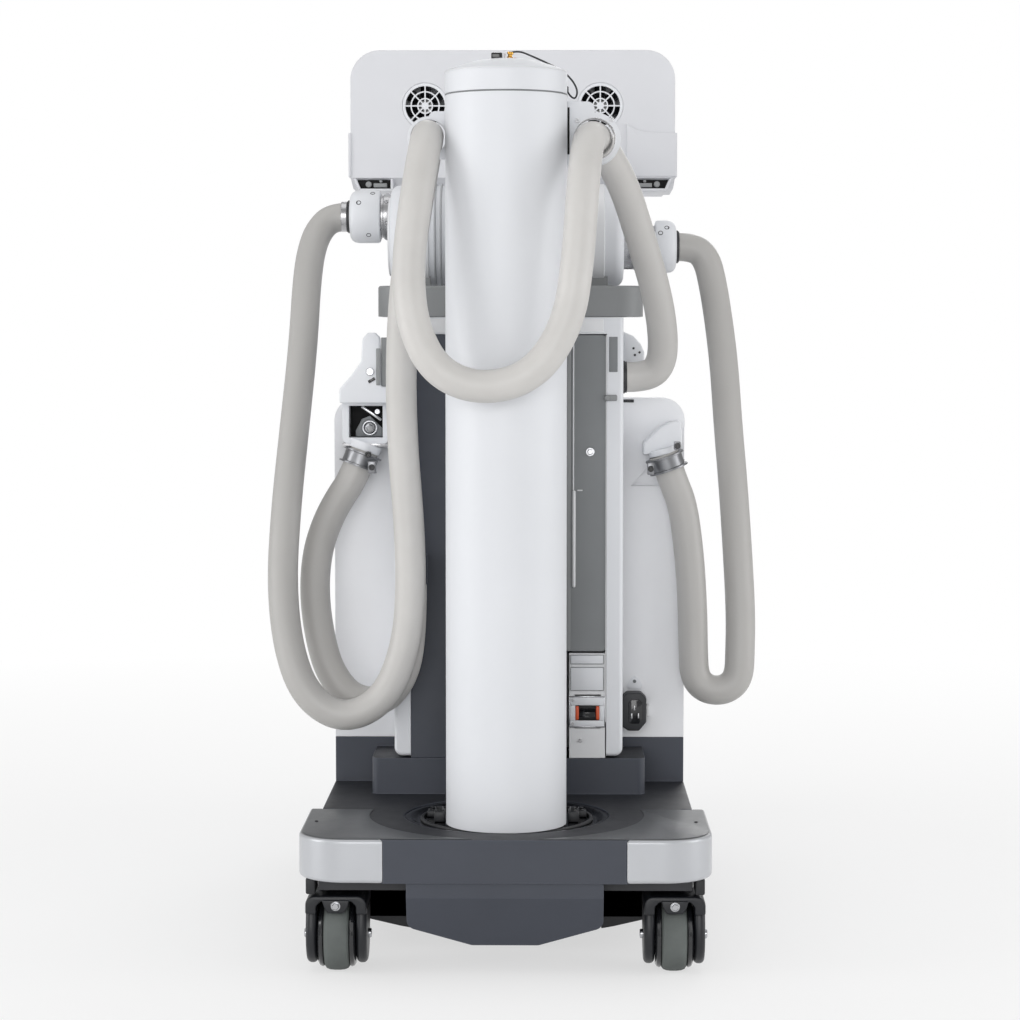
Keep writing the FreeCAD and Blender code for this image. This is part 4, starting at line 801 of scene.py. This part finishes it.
def gland_details():
    for name, at, along, ears in (
            ("left", (-216, -156, 694), (-15, -3, -40), ((-208, -196, 662, 680), (-212, -203, 686, 694))),
            ("right", (229, -156, 690), (14, 2, -40), ((204, 214, 660, 678), (243, 253, 697, 709)))):
        steel_part, screws = clamp_form(at, along, ears)
        piece(name + "_clamp", steel_part, clamp_steel, ROOT, "clamp_" + name)
        piece(name + "_clamp_screws", screws, black_gloss)
    block = [(199, 688), (199, 706), (222, 728), (240, 738), (254, 738), (256, 722), (256, 704), (243, 698)]
    stub = bar((229.5, -156, 689), (227, -156, 698), 21.6, 40)
    piece("right_gland", [plate(block, "xz", -166, 44.5, 2.5, 3), stub], white, ROOT, "gland_right")
    # Painted shade: a black sheet for the shade inside the left gland.
    piece("gland_shade", box(-236.6, -187.4, -136, -133.2, 714.4, 760.6, 0.6), painted_shade_black)
    shape = [(-228, 715), (-228, 724), (-219, 741), (-207, 746), (-196, 735), (-189, 728), (-189, 715)]
    piece("gland_bracket", plate(shape, "xz", -152, 6, 1), mid_grey)
    at = (-207, -153, 728)
    fittings = [torus(10, 2.2, at, REAR, 40), bolt_head(at, (0.15, -1, -0.1), 5.6, 6),
                cap_screw((-196, -148, 752), FRONT, 4.2),
                turned(box(-224, -188, -150, -147, 748, 752, 0.8), 35, "Y", (-206, -148, 748))]
    piece("gland_fittings", fittings, chrome)
    rim = [(-247, 700), (-247, 706), (-176, 706), (-176, 700)]
    piece("gland_sill", plate(rim, "xz", -167, 44, 1), steel)
    piece("gland_mark", box(-249, -246, -160, -150, 772, 778, 0.8), dark)


gland_details()


def switch_details():
    """Two blank plates, the breaker's bezel with its rocker, and screws."""
    face = SPINE_FRONT - 0.2
    plates = []
    rims = []
    for z0, z1 in ((386, 399), (347, 381)):
        plates.append(box(91, 139, face, face + 3, z0, z1, 0.6))
        rims.append(four_bars((91, 139), ((z0 - 0.5, z0 + 0.5), (z1 - 0.5, z1 + 0.5)),
                              ((90.5, 91.5), (138.5, 139.5)), (z0, z1), (face - 0.3, face + 1),
                              (0.2, 0.2), 1))
    piece("switch_plates", plates, white)
    piece("switch_rims", rims, mid_grey)
    bezel = four_bars((90, 140), ((325, 337), (294, 303)), ((90, 98), (133, 140)), (303, 325),
                      (face - 1.4, face + 2), (1.2, 0.8))
    piece("breaker_plate", bezel, white)
    border = four_bars((89, 141), ((337, 338.6), (292.4, 294)), ((88.4, 90), (140, 141.6)), (293, 338),
                       (face - 0.6, face + 1), (0.5, 0.5))
    piece("breaker_border", border, chrome)
    ends = [box(x, x + 5, face - 2, face + 6, 304, 324, 1.2) for x in (98, 128)]
    piece("breaker_ends", ends, orange)
    piece("breaker_body", box(97.6, 134.4, face + 6, face + 15, 296, 336, 1), dark, ROOT, "main_switch")
    rocker = [(-240, 308), (-238, 312), (-237, 314.5), (-238, 317), (-240, 321), (-233, 319.5), (-233, 309.5)]
    piece("breaker_rocker", plate(rocker, "yz", 104, 23, 0.8), black_gloss, "rocker", "switch_rocker")
    screws = [cap_screw((x, face + out, z), FRONT, radius)
              for x, out, z, radius in ((105, 0.6, 273, 2.8), (94, -1.2, 298, 2.2), (94, -1.2, 333, 2.2))]
    piece("switch_screws", screws, steel)


switch_details()


def inlet_details():
    front = -152
    shell = [(168, 282), (168, 324), (176, 332), (197, 332), (205, 324), (205, 288), (194, 275), (178, 275)]
    cavity = [(178, 288), (178, 318), (183, 322), (195, 322), (199, 318), (199, 292), (194, 286), (183, 286)]
    piece("inlet_body", plate(shell, "xz", front, 30, 2, 3), dark, ROOT, "mains_inlet")
    piece("inlet_cavity", plate(cavity, "xz", front - 0.8, 3, 0.6), black_gloss)
    pins = [box(x, x + 2, front - 4, front, z, z + 8, 0.5) for x, z in ((186, 306), (182, 294), (192, 294))]
    piece("inlet_pins", pins, steel)
    piece("inlet_tab", box(205, 210, -134, -121, 294, 311, 1.2), light_grey)
    tag = [(179, 334), (198, 334), (200, 340), (196, 348), (188, 354), (181, 348), (177, 340)]
    piece("inlet_plate", plate(tag, "xz", -122.4, 2, 0.5), white)
    piece("inlet_plate_rivet", cap_screw((188, -122.2, 346), FRONT, 2.6), mid_grey)


inlet_details()


def bumper_tops():
    """Tops of the bumpers in a darker copy of the silver paint, as painted shade, cut out round the turning
    column.
    """
    cut = 192
    rear = -372
    front = -596
    first = math.degrees(math.asin((rear - COLUMN_AXIS_Y) / cut))
    last = -math.degrees(math.acos(44 / cut))
    outline = [(276, rear), *arc_points((0, COLUMN_AXIS_Y), cut, first, last, 20), (46, front),
               *arc_points((212, -532), 64, -90, 0, 10)]
    piece("bumper_tops", both(plate(outline, "xy", 194, 1.1, 0.5)), silver_painted_shade_top)


bumper_tops()


def base_details():
    """Screws on the bumpers, small brackets under them, and the fittings in the turning dish."""
    piece("bumper_screws", both(cap_screw((262, -470, 194.6), UP, 2.4)), dark)
    piece("bumper_hangers", both(box(256, 269, -566, -520, 113, 135.5, 2.5)), under_black)
    apron = [(133, 134), (133, 31), (150, 34), (206, 47), (206, 134)]
    piece("apron", both(plate(apron, "xz", -400, 6, 1)), under_black)
    blocks = [box(86, 101, -438, -402, 188.6, 203, 2), box(90, 112, -398, -372, 188.6, 197, 2)]
    piece("dish_blocks", both(*blocks), dark, "column")
    bolts = [bolt_head((93, -424, 203), UP, 5, 5), bolt_head((104, -385, 197), UP, 4, 4)]
    piece("dish_bolts", both(*bolts), black_gloss, "column")
    ring = [(116, 0), (120, 0), (121, 2), (120, 4), (116, 4), (116, 0)]
    piece("dish_ring", lathe(ring, (0, COLUMN_AXIS_Y, 188.2), UP, 96), dark)


base_details()


def caster(name, side):
    """Fork with round guards, front lug and swivel, and a soft-edged wheel between glossy discs."""
    x = side * CASTER_X
    y = CASTER_Y
    axle = (x, y, CASTER_RADIUS)
    body = "caster_" + name
    wheel = "caster_wheel_" + name
    guard = [(-40, 68), *arc_points((0, CASTER_RADIUS), 40, 180, 360, 12), (45, 68), (51, 88), (48, 97),
             (-31, 97), (-34, 88)]
    guard = [(y + a, b) for a, b in guard]
    cheeks = [plate(guard, "yz", start, 15, 6.5, 5) for start in (x + 26.5, x - 41.5)]
    arch = [*arc_points((x + 29.5, 97), 12, 0, 90, 5), *arc_points((x - 29.5, 97), 12, 90, 180, 5),
            (x - 41.5, 84), (x - 27, 84), (x - 27, 95), (x - 21, 101.4), (x + 21, 101.4), (x + 27, 95),
            (x + 27, 84), (x + 41.5, 84)]
    crown = plate(arch, "xz", y - 42, 94, 2.5, 3)
    lug = [(x - 19, 104), (x - 16, 94), (x - 11, 86), (x + 11, 86), (x + 16, 94), (x + 19, 104)]
    piece("fork_" + name, [*cheeks, crown, plate(lug, "xz", y - 44, 8, 2, 3)], caster_black, body,
          "caster_fork_" + name)
    swivel = [(0, 0), (25, 0), (29, 1.4), (29, 3), (23, 3.6), (23, 5), (31, 5.6), (31, 8.2), (0, 8.2)]
    piece("swivel_" + name, lathe(swivel, (x, STEM_Y, 109.2), UP, 48), black_gloss, body)
    caps = [cap_screw((x + 41.5, y, CASTER_RADIUS), RIGHT, 6.5, 4.5),
            cap_screw((x - 41.5, y, CASTER_RADIUS), LEFT, 6.5, 4.5),
            bolt_head((x, y - 44, 96), FRONT, 5, 4.5)]
    piece("fork_bolts_" + name, caps, chrome, body)
    tread = [(35, -17), (44, -17), (47.6, -14.6), (49.4, -10), (50, -4), (50, 4), (49.4, 10), (47.6, 14.6),
             (44, 17), (35, 17), (35, -17)]
    piece("wheel_" + name, lathe(tread, axle, RIGHT, 72), tyre, wheel, "caster_tyre_" + name)
    disc = [(6, 17.2), (42, 17.2), (45, 18.2), (45.5, 20), (44, 23.4), (40, 25.8), (20, 25.8), (6, 25.8),
            (6, 17.2)]
    core = lathe([(5.6, -17), (36, -17), (36, 17), (5.6, 17)], axle, RIGHT, 40)
    discs = [lathe(disc, axle, RIGHT, 56), lathe(disc, axle, LEFT, 56), core]
    piece("wheel_discs_" + name, discs, black_gloss, wheel, "caster_hub_" + name)


caster("left", -1)
caster("right", 1)


def head_details():
    """Bands and ribs of the tube housing, and bolts of its yoke and handle."""
    centre = (0, HEAD_Y, HEAD_Z)
    band = lathe([(78.6, 126), (80.6, 127), (80.6, 144), (78.6, 145)], centre, RIGHT, 96)
    piece("head_bands", both(band), light_grey, "head")
    end = lathe([(30, 0), (62, 0), (62, 2.4), (60, 3.2), (30, 3.2)], (-187, HEAD_Y, HEAD_Z), LEFT, 64)
    piece("head_end", end, light_grey, "head")
    ribs = [lathe([(78.4, x), (81.4, x + 0.6), (81.4, x + 2.6), (78.4, x + 3.2)], centre, RIGHT, 80)
            for x in (88, 97, 106, 115)]
    piece("head_ribs", both(*ribs), rib_grey, "head")
    rays = [spoke(45 * k + 22.5) for k in range(8)]
    bolts = [cap_screw(Vector((65, HEAD_Y, HEAD_Z)) + ray * 89.6, ray, 4.5) for ray in rays]
    piece("yoke_bolts", both(*bolts), steel, "yoke")
    pins = [bolt_head((146, HEAD_Y + dy, 950), RIGHT, 5) for dy in (-34, 34)]
    piece("handle_bolts", both(*pins, cap_screw((137, -20.4, 918), FRONT, 4)), steel, "head")


head_details()


def collimator_details():
    """Panel, dials and buttons in front, window and rails below, and the turret's scale."""
    front = 4
    panel = plate(rounded_rectangle(-64, 64, 818, 874, 8), "xz", front - 1.6, 3, 0.8)
    piece("collimator_panel", panel, mid_grey, "collimator")
    dial = lathe([(0, -6), (13, -6), (13, 8), (11, 11), (0, 11)], (40, front - 1, 846), FRONT, 32)
    piece("collimator_dials", both(dial), black_gloss, "collimator")
    ticks = [bar((x, front - 2, z), (x, front - 0.5, z), 0.9, 8, 0.3)
             for x, z in arc_points((40, 846), 18, -30, 210, 8)]
    piece("collimator_ticks", both(*ticks), white, "collimator")
    buttons = [box(-11, 11, front - 4, front + 1, 852, 864, 2),
               box(-9, 9, front - 3.4, front + 1, 826, 834, 1.5)]
    piece("collimator_buttons", buttons, light_grey, "collimator")
    window = box(-33, 33, HEAD_Y - 33, HEAD_Y + 33, 806.2, 807.6, 0.3)
    piece("collimator_glass", window, glass, "collimator")
    rails = [box(-60, 60, y - 3, y + 3, 801, 806, 1) for y in (HEAD_Y - 55, HEAD_Y + 55)]
    piece("collimator_rails", rails, aluminium, "collimator")
    piece("turret_scale", disc_ring(64, 67.5, 6, (0, HEAD_Y, 905), UP, 0.8, 72), aluminium, "collimator")
    marks = []
    for angle in range(0, 360, 15):
        out = Vector((math.cos(math.radians(angle)), math.sin(math.radians(angle)), 0))
        at = Vector((0, HEAD_Y, 908)) + out * 66.9
        marks.append(bar(at, at + out, 1, 8, 0.3))
    piece("turret_marks", marks, dark, "collimator")


collimator_details()


def arm_details():
    screws = [cap_screw((58, y, z), RIGHT, 4.2) for y in (-310, -250, -190, -130) for z in (1050, 990)]
    piece("arm_screws", both(*screws), steel, "mast")
    piece("arm_strips", both(box(57.6, 59, -318, -100, 1014, 1026, 0.6)), mid_grey, "mast")
    lips = [box(-58.8, 58.8, -98, -90.4, z, z + 7.8, 0.8) for z in (1070, 962.2)]
    piece("arm_lip", lips, dark, "mast")
    piece("column_slot_trim", both(box(36.2, 40, -331, -329.4, 980, 1186, 0.5)), black_rubber, "column")
    screws = [cap_screw((60, COLUMN_REAR, z), REAR, 4.4) for z in range(240, 1141, 180)]
    piece("column_rear_screws", both(*screws), steel, "column")


arm_details()


def cabinet_details():
    """Side panels, louvres, rear door and detector slot of the cabinet."""
    side = CABINET_HALF
    panel = plate(rounded_rectangle(-60, 430, 300, 690, 14), "yz", side - 0.6, 1.8, 0.8)
    piece("side_panels", both(panel), white)
    louvres = [box(side + 0.6, side + 2.4, 300, 400, z, z + 5, 0.8) for z in range(340, 453, 14)]
    piece("side_louvres", both(*louvres), dark_slate)
    screws = [cap_screw((side + 1, y, z), RIGHT, 4) for y in (-44, 414) for z in (316, 674)]
    piece("side_screws", both(*screws), steel)
    rear = CABINET_REAR
    piece("rear_door", plate(rounded_rectangle(-205, 205, 300, 610, 12), "xz", rear - 0.6, 2.4, 0.8), white)
    hinges = [box(-214, -204, rear - 0.5, rear + 6, z, z + 34, 2) for z in (330, 546)]
    piece("door_hinges", hinges, dark)
    lock = [lathe([(0, 0), (12, 0), (12, 3), (10, 4), (0, 4)], (180, rear + 1, 460), REAR, 32),
            box(178.6, 181.4, rear + 4, rear + 6.4, 453, 467, 0.6)]
    piece("door_lock", lock, chrome)
    slot = four_bars((-215, 215), ((640, 646), (706, 712)), ((-215, -209), (209, 215)), (640, 712),
                     (rear - 0.4, rear + 2.2), (1, 1))
    piece("detector_frame", slot, handle_grey)
    # Painted shade: a black sheet inside the detector slot's frame, for the shade in the slot.
    piece("detector_slot_shade", box(-209, 209, rear - 0.4, rear + 0.6, 646, 706, 0.3), painted_shade_black)
    piece("detector_pull", box(-60, 60, rear + 0.2, rear + 9, 668, 684, 3.5, 3), light_grey)
    socket = [(0, 0), (11, 0), (11, 2.4), (9, 3.2), (6, 3.2), (6, 1), (0, 1)]
    sockets = [lathe(socket, (x, rear, 282), REAR, 32) for x in (-120, -90)]
    piece("rear_sockets", sockets, dark)


cabinet_details()


def on_slope(*forms):
    """From across, down the slope and out of it, to the console's sloping top."""
    verts, faces = merged(*forms)
    verts = [SLOPE_TOP + Vector((v[0], 0, 0)) + SLOPE_DOWN * v[1] + SLOPE_OUT * v[2] for v in verts]
    return verts, [face[::-1] for face in faces]


def console_details():
    bezel = [box(-139, 139, down, down + 8.5, -2, 2.6, 1.4) for down in (17, 174.5)]
    bezel += [box(x, x + 9.5, 17, 183, -2, 2.6, 1.4) for x in (-139, 129.5)]
    piece("screen_bezel", on_slope(*bezel), black_gloss)
    keys = [box(x, x + 24, 186, 196, -1, 2.2, 1) for x in range(-100, 71, 34)]
    piece("console_keys", on_slope(*keys), light_grey)
    lamps = [lathe([(0, -1), (3, -1), (3, 1.6), (2, 2.4), (0, 2.4)], (164 + 14 * k, 40, 0), UP, 20)
             for k in range(4)]
    piece("console_lamps", on_slope(*lamps), mid_grey)
    ring = disc_ring(9, 30, 2.4, (185, 90, -0.4), UP, 0.8, 56)
    piece("estop_ring", on_slope(ring), yellow)
    piece("key_ring", on_slope(disc_ring(8.6, 15, 2.6, (-185, 90, -0.4), UP, 0.8, 40)), chrome)
    grip = lathe([(15.2, 0), (15.3, 1), (15.3, 119), (15.2, 120), (14.6, 120), (14.6, 0), (15.2, 0)],
                 (62, 585, 1140), RIGHT, 40)
    piece("push_grips", both(grip), black_rubber)
    piece("push_plates", both(box(150, 212, 499, 503.4, 1120, 1160, 2)), dark)
    bolts = [cap_screw((x, 503.2, z), REAR, 4) for x in (160, 190) for z in (1130, 1150)]
    piece("push_bolts", both(*bolts), steel)


console_details()


def rear_wheel(name, side):
    """Tread with grooves, bolts round the hub, and the cap of the axle."""
    out = (side, 0, 0)
    at = (side * 234, *REAR_AXLE)
    wheel = "rear_wheel_" + name
    tread = [(96, -22), (110, -22.6), (116, -20), (119.2, -14), (120, -5), (120, 5), (119.2, 14), (116, 20),
             (110, 22.6), (96, 22), (96, -22)]
    piece("rear_tread_" + name, lathe(tread, at, out, 120), tyre, wheel, "rear_tyre_" + name)
    grooves = [lathe([(119.9, x), (119.9, x + 1.2)], at, out, 96) for x in (-8, 0, 7)]
    piece("rear_grooves_" + name, grooves, black_rubber, wheel)
    hub_face = Vector(at) + Vector(out) * 4
    bolts = [bolt_head(hub_face + spoke(60 * k) * 58, out, 6, 5) for k in range(6)]
    piece("rear_bolts_" + name, bolts, steel, wheel)
    dome = [(0, 0), (19, 0), (19, 3), (17, 6), (11, 8.4), (0, 9)]
    piece("rear_cap_" + name, lathe(dome, (side * 250.1, *REAR_AXLE), out, 40), black_gloss)


rear_wheel("left", -1)
rear_wheel("right", 1)


# Floor and world. The floor's glow grows between two distances from the machine, in metres
FLOOR_SIZE = 14
FLOOR_PALE = 0.88
FADE_FROM = 0.9
FADE_TO = 3.2
LEAST_GLOW = 0.62
WORLD_LIGHT = 0.46


def stage():
    """Pale floor that fades to white, under soft studio light."""
    bm = bmesh.new()
    bmesh.ops.create_grid(bm, x_segments=2, y_segments=2, size=FLOOR_SIZE)
    mesh = bpy.data.meshes.new("floor")
    bm.to_mesh(mesh)
    bm.free()
    floor = bpy.data.objects.new("floor", mesh)
    scene.collection.objects.link(floor)
    material = bpy.data.materials.new("floor")
    material.use_nodes = True
    tree = material.node_tree
    tree.nodes.clear()
    link = tree.links.new
    pale = node(tree, "BsdfDiffuse", Color=(*[FLOOR_PALE] * 3, 1))
    glow = node(tree, "Emission", Color=(1, 1, 1, 1), Strength=1.0)
    away = worked_out(tree, "VectorMath", "LENGTH", node(tree, "TexCoord").outputs["Object"])
    fade = ranged(tree, away, From_Min=FADE_FROM, From_Max=FADE_TO, To_Min=LEAST_GLOW, To_Max=1.0)
    rays = node(tree, "LightPath").outputs
    seen = worked_out(tree, "Math", "MAXIMUM", rays["Is Camera Ray"], rays["Is Glossy Ray"])
    mix = node(tree, "MixShader")
    link(worked_out(tree, "Math", "MULTIPLY", fade, seen), mix.inputs[0])
    link(pale.outputs[0], mix.inputs[1])
    link(glow.outputs[0], mix.inputs[2])
    link(mix.outputs[0], node(tree, "OutputMaterial").inputs["Surface"])
    mesh.materials.append(material)


def make_world():
    world = bpy.data.worlds.new("world")
    world.use_nodes = True
    scene.world = world
    tree = world.node_tree
    background = tree.nodes["Background"]
    background.inputs["Color"].default_value = (1, 1, 1, 1)
    rays = node(tree, "LightPath").outputs
    seen = worked_out(tree, "Math", "MAXIMUM", rays["Is Camera Ray"], rays["Is Transmission Ray"])
    level = ranged(tree, seen, To_Min=WORLD_LIGHT, To_Max=1.0)
    tree.links.new(level, background.inputs["Strength"])


# Each lamp's name, place and aim in millimetres, width and height in metres, and watts
LAMPS = [
    ("front", (-900, -9000, 2300), (0, -200, 750), 5, 4, 205),
    ("key", (-2600, -3200, 2600), (0, -200, 800), 2, 2, 10),
    ("fill", (2900, -2700, 1900), (0, -200, 800), 1.6, 2.2, 8),
    ("side_left", (-3600, -1400, 1200), (0, -200, 700), 1.6, 2.4, 46),
    ("side_right", (3600, -1000, 1200), (0, -200, 700), 1.6, 2.4, 34),
    ("top", (0, 200, 3600), (0, 0, 900), 2.4, 2.4, 16),
    ("rear", (600, 3600, 2200), (0, 200, 800), 2.2, 2.2, 40),
]


def make_lamps():
    for name, at, aim, wide, tall, power in LAMPS:
        data = bpy.data.lights.new(name, "AREA")
        data.shape = "RECTANGLE"
        data.size = wide
        data.size_y = tall
        data.energy = power
        lamp = bpy.data.objects.new(name, data)
        lamp.location = [v * MM for v in at]
        along = (Vector(aim) - Vector(at)).normalized()
        lamp.rotation_euler = along.to_track_quat("-Z", "Y").to_euler()
        scene.collection.objects.link(lamp)


stage()
make_world()
make_lamps()
scene.view_settings.view_transform = "Standard"
